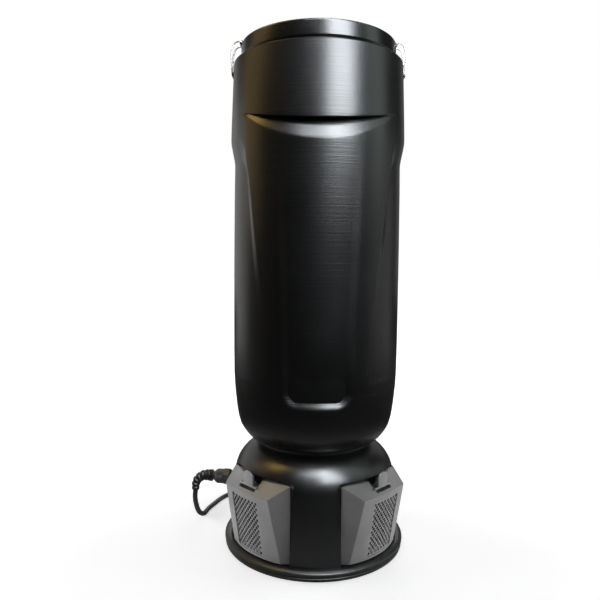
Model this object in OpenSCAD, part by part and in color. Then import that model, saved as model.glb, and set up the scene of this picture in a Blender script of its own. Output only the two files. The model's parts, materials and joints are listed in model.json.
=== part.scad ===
// Backpack vacuum cleaner: round tank with a lift-off lid on a motor base.
// Millimetres, +Z up, front towards -Y. The origin is on the axis, at floor level.

/* [Tank] */
// Outer radius of the tank at the lower edge of its collar
body_r = 113.5; // [108:0.5:138]
// Height of the tank from its underside to its rim
tank_h = 482; // [400:1:600]
// Wall thickness of the tank, the lid and the motor housing
wall = 3; // [2.5:0.1:3.6]
// Height of the flared collar round the top of the tank
collar_h = 94; // [80:1:112]
// Depth of the scoop under the front of the collar
scoop_depth = 10.5; // [8:0.5:12.5]
// Depth of the side recesses below the front panel
recess_depth = 5; // [4:0.2:6]
// Depth of the shallow panel let into the front
panel_depth = 1.2; // [0.8:0.1:1.5]

/* [Lid] */
// Height of the lid above the rim
lid_rise = 27; // [24:1:33]
// Radial gap between the lid and the rim
lid_gap = 6.5; // [5.5:0.5:8]
// Radius of the hose socket's bore
hose_r = 19; // [15.8:0.1:22.8]
// Height of the hose socket above the lid
cuff_rise = 22; // [18:1:27]
// Radius of the latch wire
wire_r = 1; // [0.9:0.05:1.2]
// Width of a latch over its two legs
latch_w = 20; // [18:1:24]

/* [Base] */
// Height of the rubber ring round the foot
ring_h = 12.5; // [10.5:0.5:15]
// How far the rubber ring stands out from the housing
ring_out = 8; // [6.5:0.5:10]
// Radius of the rounded shoulder at the top of the motor housing
dome_r = 44; // [38:1:48]
// Angle from the front to the middle of each exhaust cover
cover_angle = 45.5; // [44:0.5:55]
// How far the top of an exhaust cover stands out beyond the foot
cover_out = 12.5; // [10.5:0.5:15]
// Half of the width of an exhaust cover at its back
cover_half_w = 52.4; // [46:0.2:54]
// Wall thickness of an exhaust cover
cover_wall = 2.5; // [2.1:0.1:3]
// Diameter of a vent hole
vent_d = 3; // [2.5:0.1:3.6]
// Distance between vent holes across the cover
vent_pitch_x = 6.1; // [5.1:0.1:6.4]
// Distance between vent holes up the cover
vent_pitch_z = 7; // [5.9:0.1:7.2]

/* [Motor] */
// Radius of the fan casing
motor_r = 72; // [66:1:78]
// Height of the motor over its fan casing
motor_h = 125; // [118:1:150]
// Radius of the motor shaft
shaft_r = 4; // [3.4:0.1:4.8]
// Radius of the armature
armature_r = 21; // [18:0.5:24]

/* [Harness plate] */
// Width of the harness plate
harness_w = 150; // [145:1:164]
// Height of the harness plate
harness_h = 300; // [280:1:330]
// Thickness of the harness plate
harness_t = 5; // [4:0.5:6]
// Distance between the harness bolts from left to right
harness_dx = 120; // [110:1:126]
// Distance between the harness bolts up the plate
harness_dz = 260; // [240:1:270]
// Radius of a harness bolt hole
harness_bolt_r = 3.25; // [2.7:0.05:3.9]

/* [Cable] */
// Radius of the mains cable
cable_r = 3.5; // [3:0.1:4.2]
// Radius of the cable gland's round nut
gland_r = 10; // [9:0.5:12]

/* [Hidden] */
$fn = 96;
clear = 0.3;        // gap between pieces that come apart
running = 0.05;     // radial gap round a pin or a shaft
far = 400;          // reach of a cutting tool
eps = 0.01;         // overlap of two shapes that are joined

// ---- heights, from the floor up
plate_t = 4;
motor_z = plate_t;
motor_top = motor_z + motor_h;
gasket_t = 4;
housing_top = motor_top + gasket_t + 5;
neck_h = 11;
tank_z = housing_top + neck_h;
rim_z = tank_z + tank_h;
lid_top = rim_z + lid_rise;
collar_z = rim_z - collar_h;

// ---- motor housing
foot_r = body_r - 1.5;
shoulder_r = body_r - 6;
shoulder_z = housing_top - dome_r;
dome_end = 75;      // angle at which the shoulder meets the flat top
neck_r = foot_r - 38;
spigot_r = neck_r - 9;

// ---- lid and the seat in the rim
rim_wall = 3.5;
rim_r = body_r - 3.3;
bore_r = rim_r - rim_wall;
lid_r = bore_r - lid_gap;
lip_z = rim_z - 31;
lip_t = 4;
lip_r = bore_r - 5.2;
seat_z = lip_z + lip_t;
lid_gasket_t = 4;
lid_z = seat_z + lid_gasket_t;
lid_flange_t = 4;
lid_round = 8;
liner_t = 2.5;

// ---- tank
tank_r = body_r - 4.3;
tank_in_r = tank_r - 1.1 - wall;
floor_t = 4;
seam_h = 16;
taper_h = 83;

// Points on an arc round c, and on a curve from a to c that is pulled towards b
function arc(c, r, a0, a1, n = 6) =
  [for (i = [0:n]) let (a = a0 + (a1 - a0) * i / n) c + r * [cos(a), sin(a)]];
function bend(a, b, c, n = 5) =
  [for (i = [0:n]) let (t = i / n) (1-t)*(1-t)*a + 2*t*(1-t)*b + t*t*c];

module revolve(points) {
  rotate_extrude() polygon(points);
}

module ring(r_out, r_in, z, h) {
  translate([0, 0, z]) difference() {
    cylinder(r = r_out, h = h);
    translate([0, 0, -1]) cylinder(r = r_in, h = h + 2);
  }
}

module around(count, start = 0) {
  for (i = [0:count-1]) rotate([0, 0, start + 360 * i / count]) children();
}

module on_both_sides() {
  children();
  mirror([1, 0, 0]) children();
}

// A rod along X, centred on the axis of symmetry
module rod_x(r, length) {
  translate([-length/2, 0, 0]) rotate([0, 90, 0]) cylinder(r = r, h = length);
}

// A pan-head screw that stands on its seat, pointing down
module screw(r, length, head_r, head_h) {
  translate([0, 0, -length]) cylinder(r = r, h = length + eps);
  cylinder(r = head_r, h = head_h);
}

// ================= tank
// Outline of the tank from its underside to its rim; swell is how far the front panel stands out
function tank_outline(swell) = concat(
  [[0, tank_z], [spigot_r + 18, tank_z]],
  bend([spigot_r + 20, tank_z], [body_r - 21, tank_z + 5], [body_r - 15.5, tank_z + seam_h]),
  bend([body_r - 15, tank_z + seam_h], [body_r - 7, tank_z + 37], [tank_r, tank_z + taper_h]),
  [[tank_r, collar_z - 180],
   [body_r - 0.3 - recess_depth + swell * recess_depth, collar_z - 30],
   [body_r - 0.3 - (1 - swell) * (recess_depth - 0.4), collar_z - 21],
   [body_r, collar_z], [rim_r + 0.2, rim_z - 7]],
  arc([rim_r - 2, rim_z - 2], 2, 0, 90, 3),
  [[0, rim_z]]);

// Front view of the raised panel between the side recesses
panel_top_w = 92;
panel_low_w = 66;
panel_round = 9;
panel_low_z = collar_z - 247;
panel_top_z = collar_z - 16;
module panel_outline() {
  polygon(concat([[-panel_low_w, panel_low_z], [panel_low_w, panel_low_z]],
    arc([panel_top_w - panel_round, panel_top_z - panel_round], panel_round, 0, 90, 3),
    arc([panel_round - panel_top_w, panel_top_z - panel_round], panel_round, 90, 180, 3)));
}

// The shallow panel in the front, with a round-cornered foot
inlay_low_w = 42;
inlay_top_w = 54;
inlay_round = 24;
inlay_low_z = tank_z + 59;
module inlay_outline() {
  polygon(concat([[inlay_top_w, panel_top_z + 8], [-inlay_top_w, panel_top_z + 8]],
    arc([inlay_round - inlay_low_w, inlay_low_z + inlay_round], inlay_round, 180, 270, 3),
    arc([inlay_low_w - inlay_round, inlay_low_z + inlay_round], inlay_round, 270, 360, 3)));
}

// The scoop runs round the front under a ledge that climbs towards the sides
scoop_z = collar_z + 7;
ledge_tilt = 17.3;
scoop_h = 23;
scoop_half_angle = 55;
scoop_shift = (body_r * body_r - (body_r - scoop_depth) * (body_r - scoop_depth))
            / (2 * ((body_r - scoop_depth) - body_r * cos(scoop_half_angle)));
scoop_r = body_r - scoop_depth + scoop_shift;
module scoop(skin) {
  translate([0, -body_r, scoop_z]) rotate([ledge_tilt, 0, 0]) difference() {
    translate([-far/2, -far/2, -scoop_h * 2]) cube([far, far/2 + body_r - 30, scoop_h * 2 + skin]);
    translate([0, body_r + scoop_shift, -scoop_h * 2 - 1])
      cylinder(r1 = scoop_r + scoop_depth * (2 * scoop_h + 1) / scoop_h - skin, r2 = scoop_r - skin - 0.3,
               h = scoop_h * 2 + 1 + skin + 1);
  }
}

function tank_hollow() = concat(
  [[0, tank_z + floor_t], [spigot_r + 14, tank_z + floor_t]],
  bend([spigot_r + 18, tank_z + floor_t], [body_r - 19, tank_z + 7],
       [body_r - 15.5 - wall, tank_z + seam_h + 1]),
  bend([body_r - 15.5 - wall, tank_z + seam_h + 2], [body_r - 8 - wall, tank_z + 37],
       [tank_in_r, tank_z + taper_h]),
  [[tank_in_r, collar_z - 24], [bore_r + 1.5, collar_z + 6], [bore_r + 1, lip_z - 6], [lip_r, lip_z],
   [lip_r, seat_z], [bore_r, seat_z], [bore_r, rim_z + 1], [0, rim_z + 1]]);

harness_z = collar_z - 155;
harness_y = body_r + 0.5;
harness_screw_x = 40;
harness_screw_z = 110;
insert_r = 4;
insert_len = 10;
boss_r = insert_r + 4;
boss_len = harness_y - sqrt(pow(tank_in_r, 2) - pow(harness_screw_x + boss_r, 2));
tank_screw_count = 4;
tank_screw_r = 2;
tank_screw_ring = spigot_r + 5.8;
filter_r = spigot_r - 3.5;

module at_harness_screws() {
  for (x = [-1, 1], z = [-1, 1])
    translate([x * harness_screw_x, harness_y, harness_z + z * harness_screw_z]) rotate([-90, 0, 0]) children();
}

module tank() {
  color("#1d1d1f") difference() {
    union() {
      difference() {
        union() {
          revolve(tank_outline(0));
          intersection() {
            revolve(tank_outline(1));
            rotate([90, 0, 0]) linear_extrude(far) panel_outline();
          }
          at_harness_screws() translate([0, 0, -boss_len]) cylinder(r = boss_r, h = boss_len);
        }
        scoop(0);
        intersection() {
          rotate([90, 0, 0]) linear_extrude(far) inlay_outline();
          difference() {
            cylinder(r = far/2, h = far * 2);
            revolve([for (p = tank_outline(1)) p[0] == 0 ? p : [p[0] - panel_depth, p[1]]]);
          }
        }
        difference() {
          revolve(tank_hollow());
          scoop(wall);
          at_harness_screws() translate([0, 0, -boss_len]) cylinder(r = boss_r, h = boss_len);
        }
      }
      ring(spigot_r, spigot_r - wall, motor_top + gasket_t, tank_z - motor_top - gasket_t + 1);
      ring(filter_r + 5, filter_r + 3, tank_z + floor_t - 1, 9);
      latch_catches();
    }
    at_harness_screws() translate([0, 0, -insert_len]) cylinder(r = insert_r, h = insert_len + 1);
    tank_screw_holes(tank_screw_r + 0.2);
    floor_grid();
  }
}

// Air slots through the tank's floor, under the motor filter
module floor_grid() {
  slot_w = 9;
  bar_w = 3;
  hub_r = 10;
  translate([0, 0, tank_z - 1]) linear_extrude(floor_t + 2) difference() {
    circle(r = spigot_r - wall - 4);
    circle(r = hub_r);
    for (i = [-6:6]) translate([i * (slot_w + bar_w) - bar_w/2, -far/2]) square([bar_w, far]);
    translate([-far/2, -bar_w/2]) square([far, bar_w]);
  }
}

module tank_screw_holes(r) {
  around(tank_screw_count, 45) translate([tank_screw_ring, 0, housing_top - 20])
    cylinder(r = r, h = neck_h + 30);
}

module tank_screws() {
  color("#b8b8b8") around(tank_screw_count, 45) translate([tank_screw_ring, 0, tank_z + floor_t])
    screw(tank_screw_r, neck_h + floor_t + 8, 3.8, 2.4);
}

module neck_seal() {
  color("#0c0c0c") difference() {
    ring(neck_r, spigot_r + 0.1, housing_top, neck_h);
    tank_screw_holes(tank_screw_r + 0.2);
  }
}

// ================= motor housing
pocket_y = shoulder_r - 13.5;
pocket_gap = 2.3;
pocket_half_w = cover_half_w + pocket_gap;
pocket_floor_z = ring_h - 0.5;
cover_z = ring_h + 1.5;
cover_front_z = shoulder_z + 3;
cover_back_z = cover_front_z + 13.5;
pocket_top_z = cover_back_z + pocket_gap;
pocket_round = 8;
hinge_y = -(foot_r - 6);
hinge_z = ring_h + 4.5;
hinge_pin_r = 1.5;
hinge_lug_r = 2.4;
hinge_lug_x = [8, 12];
lug_foot_y = [-0.3, 4.4];  // the foot of a lug stands behind its pin, clear of the turning cover
housing_foot = 0.6;

function housing_outline(inset) = concat(
  [[0, housing_foot], [foot_r - inset, housing_foot], [foot_r - inset, ring_h],
   [shoulder_r - inset, shoulder_z]],
  arc([shoulder_r - dome_r, shoulder_z], dome_r - inset, 0, dome_end, 8),
  [[shoulder_r - dome_r + 9, housing_top - inset], [0, housing_top - inset]]);

// Radius of the housing's wall between its ring and its shoulder
function wall_r(z) = foot_r + (shoulder_r - foot_r) * (z - ring_h) / (shoulder_z - ring_h);

module at_cover(side) {
  rotate([0, 0, side * cover_angle]) children();
}

// Room for an exhaust cover, cut in from the front; skin makes its own wall
module pocket(skin) {
  w = pocket_half_w + skin;
  r = pocket_round + skin;
  translate([0, -pocket_y + skin, 0]) rotate([90, 0, 0]) linear_extrude(far) polygon(concat(
    [[-w, pocket_floor_z - skin], [w, pocket_floor_z - skin]],
    arc([w - r, pocket_top_z + skin - r], r, 0, 90, 4),
    arc([r - w, pocket_top_z + skin - r], r, 90, 180, 4)));
}

filter_half_w = 32;
filter_z = [pocket_floor_z + 18, cover_front_z - 6];
filter_t = 9;
window_rim = 4;

gland_angle = -100;
gland_z = plate_t + 70;
gland_face = wall_r(gland_z) - 0.6;
thread_r = gland_r - 2;
switch_angle = 150;
switch_z = 62;
switch_w = 27;
switch_h = 20;
base_screw_ring = foot_r - wall - 4.6;
base_boss_r = 5.5;

// Frame with +Z pointing out of the housing's wall, at an angle from the front
module at_wall(angle, z) {
  rotate([0, 0, angle]) translate([0, 0, z]) rotate([90, 0, 0]) children();
}

module motor_housing() {
  color("#202022") {
    difference() {
      union() {
        difference() {
          revolve(housing_outline(0));
          revolve(housing_outline(wall));
          translate([0, 0, -1]) cylinder(r = foot_r - wall, h = 3);
        }
        intersection() {
          revolve(housing_outline(0));
          union() for (side = [-1, 1]) at_cover(side) pocket(wall);
        }
        around(4) translate([base_screw_ring, 0, plate_t + 0.2]) cylinder(r = base_boss_r, h = 18);
        around(tank_screw_count, 45) translate([tank_screw_ring, 0, housing_top - 9])
          cylinder(r = 4.5, h = 8);
      }
      for (side = [-1, 1]) at_cover(side) {
        pocket(0);
        translate([-filter_half_w + window_rim, -pocket_y - 1, filter_z[0] + window_rim])
          cube([2 * (filter_half_w - window_rim), wall + 3, filter_z[1] - filter_z[0] - 2 * window_rim]);
      }
      translate([0, 0, housing_top - wall - 1]) cylinder(r = spigot_r + clear, h = wall + 2);
      around(4) translate([base_screw_ring, 0, 0]) cylinder(r = base_screw_r, h = 18);
      around(tank_screw_count, 45) translate([tank_screw_ring, 0, housing_top - 20])
        cylinder(r = tank_screw_r, h = 30);
      at_wall(gland_angle, gland_z) cylinder(r = thread_r, h = far);
      at_wall(switch_angle, switch_z) translate([-switch_w/2, -switch_h/2, 0]) cube([switch_w, switch_h, far]);
    }
    for (side = [-1, 1]) at_cover(side) hinge_lugs();
  }
}

module hinge_lugs() {
  on_both_sides() difference() {
    translate([hinge_lug_x[0], hinge_y, 0]) {
      translate([0, 0, hinge_z]) rotate([0, 90, 0])
        cylinder(r = hinge_lug_r, h = hinge_lug_x[1] - hinge_lug_x[0]);
      translate([0, lug_foot_y[0], pocket_floor_z - 1])
        cube([hinge_lug_x[1] - hinge_lug_x[0], lug_foot_y[1] - lug_foot_y[0], hinge_z - pocket_floor_z + 1]);
    }
    translate([0, hinge_y, hinge_z]) rod_x(hinge_pin_r, far);
  }
}

module cover_hinge_pins() {
  color("#c4c4c6") for (side = [-1, 1]) at_cover(side)
    translate([0, hinge_y, hinge_z]) rod_x(hinge_pin_r, 2 * hinge_lug_x[1] + 1);
}

// Rubber ring, rounded outside, with a groove under its bead
module base_ring() {
  r0 = foot_r + 0.1;
  bead = ring_h / 3;
  color("#141414") revolve(concat(
    [[r0, 0], [r0 + ring_out - 1.5, 0], [r0 + ring_out - 0.5, 1], [r0 + ring_out - 0.5, bead]],
    arc([r0 + ring_out - bead, ring_h - bead], bead, -30, 90, 6),
    [[r0, ring_h]]));
}

base_screw_r = 2;
module base_plate() {
  r = foot_r - wall - clear;
  color("#252527") difference() {
    union() {
      cylinder(r = r, h = plate_t);
      ring(mount_r + 4, mount_r + clear, plate_t - 1, 7);
    }
    around(4) translate([base_screw_ring, 0, 0]) {
      translate([0, 0, -1]) cylinder(r = base_screw_r + 0.2, h = plate_t + 2);
      translate([0, 0, -eps]) cylinder(r = 4.2, h = 2.4);
    }
  }
}

module base_screws() {
  color("#b8b8b8") around(4) translate([base_screw_ring, 0, 2.3]) mirror([0, 0, 1])
    screw(base_screw_r, 15, 3.9, 1.8);
}

// ================= exhaust covers
front_slope = cover_out / (cover_front_z - ring_h);
side_slant = 29.4;  // lean of the cover's sides, seen from above
function cover_r(z) = foot_r + (z - ring_h) * front_slope;

function cover_outline(inset) = let (
    low = cover_z + inset,
    top = cover_front_z - inset,
    back = cover_back_z - inset,
    r_top = cover_r(cover_front_z) - inset) [
  [0, low], [cover_r(low) - inset - 3, low], [cover_r(low + 3) - inset, low + 3],
  [r_top, top], [r_top - 17.3, back], [0, back]];

// The outer shape of a cover, drawn in by inset, behind the plane y = -y_back
module cover_solid(inset, y_back) {
  w = cover_half_w - inset / cos(side_slant);
  depth = 45;
  intersection() {
    revolve(cover_outline(inset));
    linear_extrude(far) polygon([
      [-w, -y_back], [w, -y_back],
      [w - depth * tan(side_slant), -y_back - depth],
      [-w + depth * tan(side_slant), -y_back - depth]]);
  }
}

notch_half_w = 14.6;
notch_y = [-(foot_r + 7), -(pocket_y + clear)];
notch_z = cover_front_z + 0.5;
tab_half_w = 9.2;
tab_t = 2.4;
tab_y = -(foot_r + 4.2);
tab_pivot_z = notch_z + 3.6;
tab_pin_r = 1.5;
tab_top_z = notch_z + 24.5;
field_shift = 3;
field_cols = 8;
field_rows = 10;
grille_half_w = 28;
grille_t = 2;
grille_z = [hinge_z + 3.6, cover_front_z - 6];
function grille_y(z) = -sqrt(pow(cover_r(z) - cover_wall, 2) - pow(grille_half_w + field_shift, 2)) + 0.2;
grille_lean = atan((grille_y(grille_z[0]) - grille_y(grille_z[1])) / (grille_z[1] - grille_z[0]));

// Lays a flat drawing against the inside of a cover's front wall, with its Y axis up the wall
module on_front(side) {
  translate([side * field_shift, grille_y(grille_z[0]), grille_z[0]]) rotate([90 + grille_lean, 0, 0])
    children();
}
grille_h = (grille_z[1] - grille_z[0]) / cos(grille_lean);

module exhaust_cover(side) {
  y_back = pocket_y + clear + 0.2;  // its lower edge swings back a little as the cover tilts
  at_cover(side) difference() {
    union() {
      difference() {
        cover_solid(0, y_back);
        cover_solid(cover_wall, y_back - 1);
        translate([-hinge_lug_x[1] - 0.6, hinge_y - hinge_lug_r - 0.2, cover_z - 1])
          cube([2 * hinge_lug_x[1] + 1.2, hinge_lug_r + 8, 2.4 + hinge_z - cover_z + 4]);
      }
      intersection() {
        cover_solid(0, y_back);
        translate([-notch_half_w - cover_wall, notch_y[0] - cover_wall, notch_z - cover_wall])
          cube([2 * (notch_half_w + cover_wall), notch_y[1] - notch_y[0] + cover_wall, far]);
      }
      translate([0, hinge_y, hinge_z]) {
        rod_x(3, 2 * hinge_lug_x[0] - 0.6);
        translate([-hinge_lug_x[0] + 0.3, -4.5, -2.4]) cube([2 * hinge_lug_x[0] - 0.6, 4.5, 4]);
      }
    }
    translate([0, hinge_y, hinge_z]) rod_x(hinge_pin_r + running, far);
    translate([-notch_half_w, notch_y[0], notch_z]) cube([2 * notch_half_w, far, far]);
    translate([0, tab_y, tab_pivot_z]) rod_x(tab_pin_r + running, 2 * notch_half_w + 4);
    on_front(side) translate([-grille_half_w + window_rim, window_rim - 1, -1])
      cube([2 * (grille_half_w - window_rim), grille_h - 2 * window_rim + 2, far]);
  }
}
module exhaust_cover_left() { color("#3a3a3d") exhaust_cover(-1); }
module exhaust_cover_right() { color("#3a3a3d") exhaust_cover(1); }

// Flat perforated plate behind the window of a cover
module exhaust_grille(side) {
  at_cover(side) on_front(side) translate([0, 0, -grille_t]) linear_extrude(grille_t) difference() {
    translate([-grille_half_w, 0]) square([2 * grille_half_w, grille_h]);
    translate([0, grille_h/2]) {
      for (i = [0:field_cols-1], j = [0:field_rows-1])
        translate([(i - (field_cols - 1)/2) * vent_pitch_x, (j - (field_rows - 1)/2) * vent_pitch_z])
          circle(d = vent_d, $fn = 24);
      for (i = [0:field_cols-2], j = [0:field_rows-2])
        translate([(i - field_cols/2 + 1) * vent_pitch_x, (j - field_rows/2 + 1) * vent_pitch_z])
          circle(d = vent_d, $fn = 24);
    }
  }
}
module exhaust_grille_left() { color("#333336") exhaust_grille(-1); }
module exhaust_grille_right() { color("#333336") exhaust_grille(1); }

// Half-round thumb tab on trunnions, with a barb that reaches back under the housing
module latch_tab(side) {
  at_cover(side) translate([0, tab_y, 0]) {
    rotate([90, 0, 0]) translate([0, 0, -tab_t/2]) linear_extrude(tab_t) polygon(concat(
      [[-tab_half_w, notch_z + 1], [tab_half_w, notch_z + 1]],
      arc([0, tab_top_z - tab_half_w], tab_half_w, 0, 180, 12)));
    translate([0, 0, tab_pivot_z]) rod_x(tab_pin_r, 2 * notch_half_w + 3.6);
    translate([-5, 0, cover_back_z - 6]) cube([10, 9, 2.5]);
  }
}
module latch_tab_left() { color("#2e2e30") latch_tab(-1); }
module latch_tab_right() { color("#2e2e30") latch_tab(1); }

module exhaust_filters() {
  color("#8d9196") for (side = [-1, 1]) at_cover(side)
    translate([-filter_half_w, -pocket_y - filter_t, filter_z[0]])
      cube([2 * filter_half_w, filter_t, filter_z[1] - filter_z[0]]);
}

// ================= lid
lid_boss_r = hose_r + 9;
cuff_wall = 5;
cuff_r = hose_r + cuff_wall;
cuff_low = lid_z - 52;
pivot_x = lid_r - 1;
pivot_z = lid_top + 3.5;
lug_half_w = latch_w/2 - wire_r - 0.4;

module lid() {
  color("#0f0f11") difference() {
    union() {
      difference() {
        revolve(concat([[0, lid_z], [bore_r - 0.6, lid_z], [bore_r - 0.6, lid_z + lid_flange_t],
          [lid_r, lid_z + lid_flange_t]], arc([lid_r - lid_round, lid_top - lid_round], lid_round, 0, 90, 5),
          [[0, lid_top + 1.5]]));
        revolve([[0, lid_z - 1], [lid_r - wall, lid_z - 1], [lid_r - wall, lid_top - lid_round],
          [lid_r - lid_round, lid_top - wall], [0, lid_top + 1.5 - wall]]);
      }
      translate([0, 0, lid_z + liner_t]) cylinder(r = lid_boss_r, h = lid_top + 1 - lid_z - liner_t);
      on_both_sides() latch_lug();
    }
    translate([0, 0, lid_z - 1]) cylinder(r = cuff_r + running, h = far);
  }
}

// Lug on the lid's edge that a wire latch pivots in
module latch_lug() {
  translate([pivot_x, lug_half_w, 0]) rotate([90, 0, 0]) linear_extrude(2 * lug_half_w) difference() {
    union() {
      translate([0, pivot_z]) circle(r = wire_r + 2.2, $fn = 48);
      translate([-wire_r - 9, lid_top - 4]) square([wire_r + 9, pivot_z - lid_top + 4]);
      translate([-wire_r - 2, lid_top - 12]) square([2 * wire_r + 3, pivot_z - lid_top + 12]);
    }
    translate([0, pivot_z]) circle(r = wire_r + running, $fn = 48);
  }
}

module lid_liner() {
  color("#2a2a2c") difference() {
    ring(lid_r - wall - 0.1, cuff_r + 1, lid_z, liner_t);
    around(6, 30) translate([lid_r - wall - 10, 0, lid_z - 1]) cylinder(r = 2, h = liner_t + 2);
  }
}

module lid_gasket() {
  color("#3b3b3b") ring(bore_r - 0.6, bore_r - 3.4, seat_z, lid_gasket_t);
}

// Wire latch: pins in the lug, over the lid's edge, down to a crossbar under the catch
catch_z = rim_z - 11;
catch_out = 0.9;
catch_r = rim_r + 0.3 + (rim_z - catch_z) * 0.03;
latch_x = catch_r + catch_out + wire_r + clear;
module latch() {
  stub = 2;
  bow_r = latch_x - pivot_x - stub;
  leg_y = latch_w / 2;
  color("#c9c9cc") {
    for (s = [-1, 1]) translate([0, s * leg_y, 0]) {
      translate([pivot_x, 0, pivot_z]) rotate([0, 90, 0]) cylinder(r = wire_r, h = stub, $fn = 32);
      translate([pivot_x + stub, 0, pivot_z - bow_r]) rotate([90, 0, 0]) rotate_extrude(angle = 90, $fn = 64)
        translate([bow_r, 0]) circle(r = wire_r, $fn = 32);
      translate([latch_x, 0, catch_z]) cylinder(r = wire_r, h = pivot_z - bow_r - catch_z, $fn = 32);
      translate([latch_x, 0, catch_z]) sphere(r = wire_r, $fn = 32);
      translate([pivot_x, 0, pivot_z]) sphere(r = wire_r, $fn = 32);
    }
    translate([latch_x, leg_y, catch_z]) rotate([90, 0, 0]) cylinder(r = wire_r, h = latch_w, $fn = 32);
    for (s = [-1, 1]) translate([pivot_x, s * leg_y, pivot_z]) rotate([90 * s, 0, 0])
      cylinder(r = wire_r, h = leg_y - 2, $fn = 32);
  }
}

module latch_right() { latch(); }
module latch_left() { mirror([1, 0, 0]) latch(); }

module latch_catches() {
  on_both_sides() translate([rim_r - 2, -8, catch_z + wire_r + 0.4])
    cube([catch_r + catch_out - rim_r + 2, 16, 3]);
}

// ================= hose cuff
module hose_cuff() {
  flange_z = lid_top + 1.5 + clear;
  color("#18181a") difference() {
    union() {
      translate([0, 0, cuff_low]) cylinder(r = cuff_r, h = lid_top + cuff_rise - cuff_low);
      translate([0, 0, flange_z]) cylinder(r = cuff_r + 4, h = 4);
    }
    translate([0, 0, cuff_low - 1]) cylinder(r = hose_r, h = far);
    ring(cuff_r + 1, cuff_r - 1.5, cuff_groove_z, groove_h);
  }
}
groove_h = 2.4;
cuff_groove_z = lid_z - groove_h - 2;
module cuff_retainer() {
  color("#9a9a9c") difference() {
    ring(cuff_r + 4, cuff_r - 1.4, cuff_groove_z + 0.2, groove_h - 0.4);
    translate([-3, 0, 0]) cube([6, far, far * 2]);
  }
}

// ================= filters
bag_r = tank_in_r - 13;
bag_top = lid_z - 46;
bag_low = tank_z + 38;
bag_wall = 1.6;
function bag_outline(inset) = concat(
  [[0, bag_low + inset]],
  arc([bag_r - 20, bag_low + 20], 20 - inset, -90, 0, 4),
  arc([bag_r - 12, bag_top - 12], 12 - inset, 0, 90, 4),
  [[0, bag_top - inset]]);

module dust_bag() {
  color("#c9b48c") difference() {
    revolve(bag_outline(0));
    revolve(bag_outline(bag_wall));
    translate([0, 0, bag_low + 40]) cylinder(r = cuff_r + clear, h = far);
  }
}

module bag_collar() {
  color("#a58a5c") ring(cuff_r + 20, cuff_r + clear, bag_top, 3);
}

cloth_r = tank_in_r - 8;
cloth_t = 1.2;
cloth_round = 26;
module cloth_filter() {
  low = tank_z + 22;
  color("#4c4f55") revolve(concat(
    [[0, low]], arc([cloth_r - cloth_round, low + cloth_round], cloth_round, -90, 0, 4),
    [[cloth_r, seat_z], [cloth_r - cloth_t, seat_z]],
    arc([cloth_r - cloth_round, low + cloth_round], cloth_round - cloth_t, 0, -90, 4), [[0, low + cloth_t]]));
}

module cloth_filter_ring() {
  color("#6d6f73") difference() {
    union() {
      ring(cloth_r + 5.8, cloth_r - cloth_t, seat_z, 2.5);
      ring(lip_r - clear, cloth_r + 0.1, lip_z, lip_t + 1);
    }
  }
}

module motor_filter() {
  color("#1f2a33") translate([0, 0, tank_z + floor_t]) cylinder(r = filter_r + 2.8, h = 12);
}

// ================= motor
bracket_z = motor_top - 43;
bearing_r = 11;
bearing_h = 8;
lower_bearing_z = motor_z + 22;
upper_bearing_z = bracket_z - 2;
frame_r = 46;
frame_t = 2;
mount_r = frame_r;
casing_t = 1.5;
stator_r = frame_r - frame_t - 0.1;
stator_z = [motor_z + 48, bracket_z - 6];
comm_z = motor_z + 34;
comm_h = 10;
comm_r = 12;
brush_z = comm_z + comm_h/2;
brush_w = 6;
air_gap = 0.6;

module fan_casing() {
  color("#b9bcc0") difference() {
    translate([0, 0, bracket_z]) cylinder(r = motor_r, h = motor_top - bracket_z);
    translate([0, 0, bracket_z - 1]) cylinder(r = motor_r - casing_t, h = motor_top - bracket_z + 1 - casing_t);
    cylinder(r = 24, h = far);
    around(12) translate([motor_r - 6, -4, bracket_z + 5]) cube([12, 8, 8]);
  }
}

module motor_bracket() {
  color("#a9acb0") difference() {
    union() {
      translate([0, 0, bracket_z + eps]) cylinder(r = motor_r - casing_t - 0.1, h = 3);
      ring(bearing_r + 4, bearing_r, upper_bearing_z, bearing_h);
    }
    translate([0, 0, upper_bearing_z - 1]) cylinder(r = bearing_r, h = bearing_h + 1);
    cylinder(r = bearing_r - 2, h = far);
  }
}

diffuser_z = bracket_z + 20;
module diffuser() {
  color("#c2c4c7") {
    ring(motor_r - casing_t - 0.1, 20, diffuser_z, 2);
    around(9) translate([motor_r - 18, 0, diffuser_z - 1.5]) rotate([0, 0, 55]) cube([12, 1.5, 2]);
  }
}

module motor_frame() {
  color("#8f9296") difference() {
    translate([0, 0, motor_z + 10]) cylinder(r = frame_r, h = bracket_z - motor_z - 10);
    translate([0, 0, lower_bearing_z - 2]) cylinder(r = frame_r - frame_t, h = far);
    translate([0, 0, motor_z + 9]) cylinder(r = cooling_fan_r + 2, h = lower_bearing_z - motor_z - 13);
    cylinder(r = bearing_r - 3, h = far);
    around(4, 45) translate([frame_r - 6, -10, comm_z - 4]) cube([12, 20, 14]);
  }
  color("#8f9296") ring(bearing_r + 3, bearing_r, lower_bearing_z - 2, bearing_h + 1);
}

module motor_gasket() {
  color("#101010") ring(spigot_r, spigot_r - wall - 6, motor_top, gasket_t);
}

module motor_mount() {
  color("#161616") difference() {
    ring(mount_r, cooling_fan_r + 4, motor_z, 10);
    around(4) translate([mount_r - 12, -5, 0]) cube([24, 10, motor_z + 4]);
  }
}

pole_w = 40;
module stator_core() {
  color("#6f7378") translate([0, 0, stator_z[0]]) linear_extrude(stator_z[1] - stator_z[0]) difference() {
    circle(r = stator_r);
    difference() {
      circle(r = stator_r - 6);
      translate([-pole_w/2, -far/2]) square([pole_w, far]);
    }
    circle(r = armature_r + air_gap);
  }
}

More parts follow.
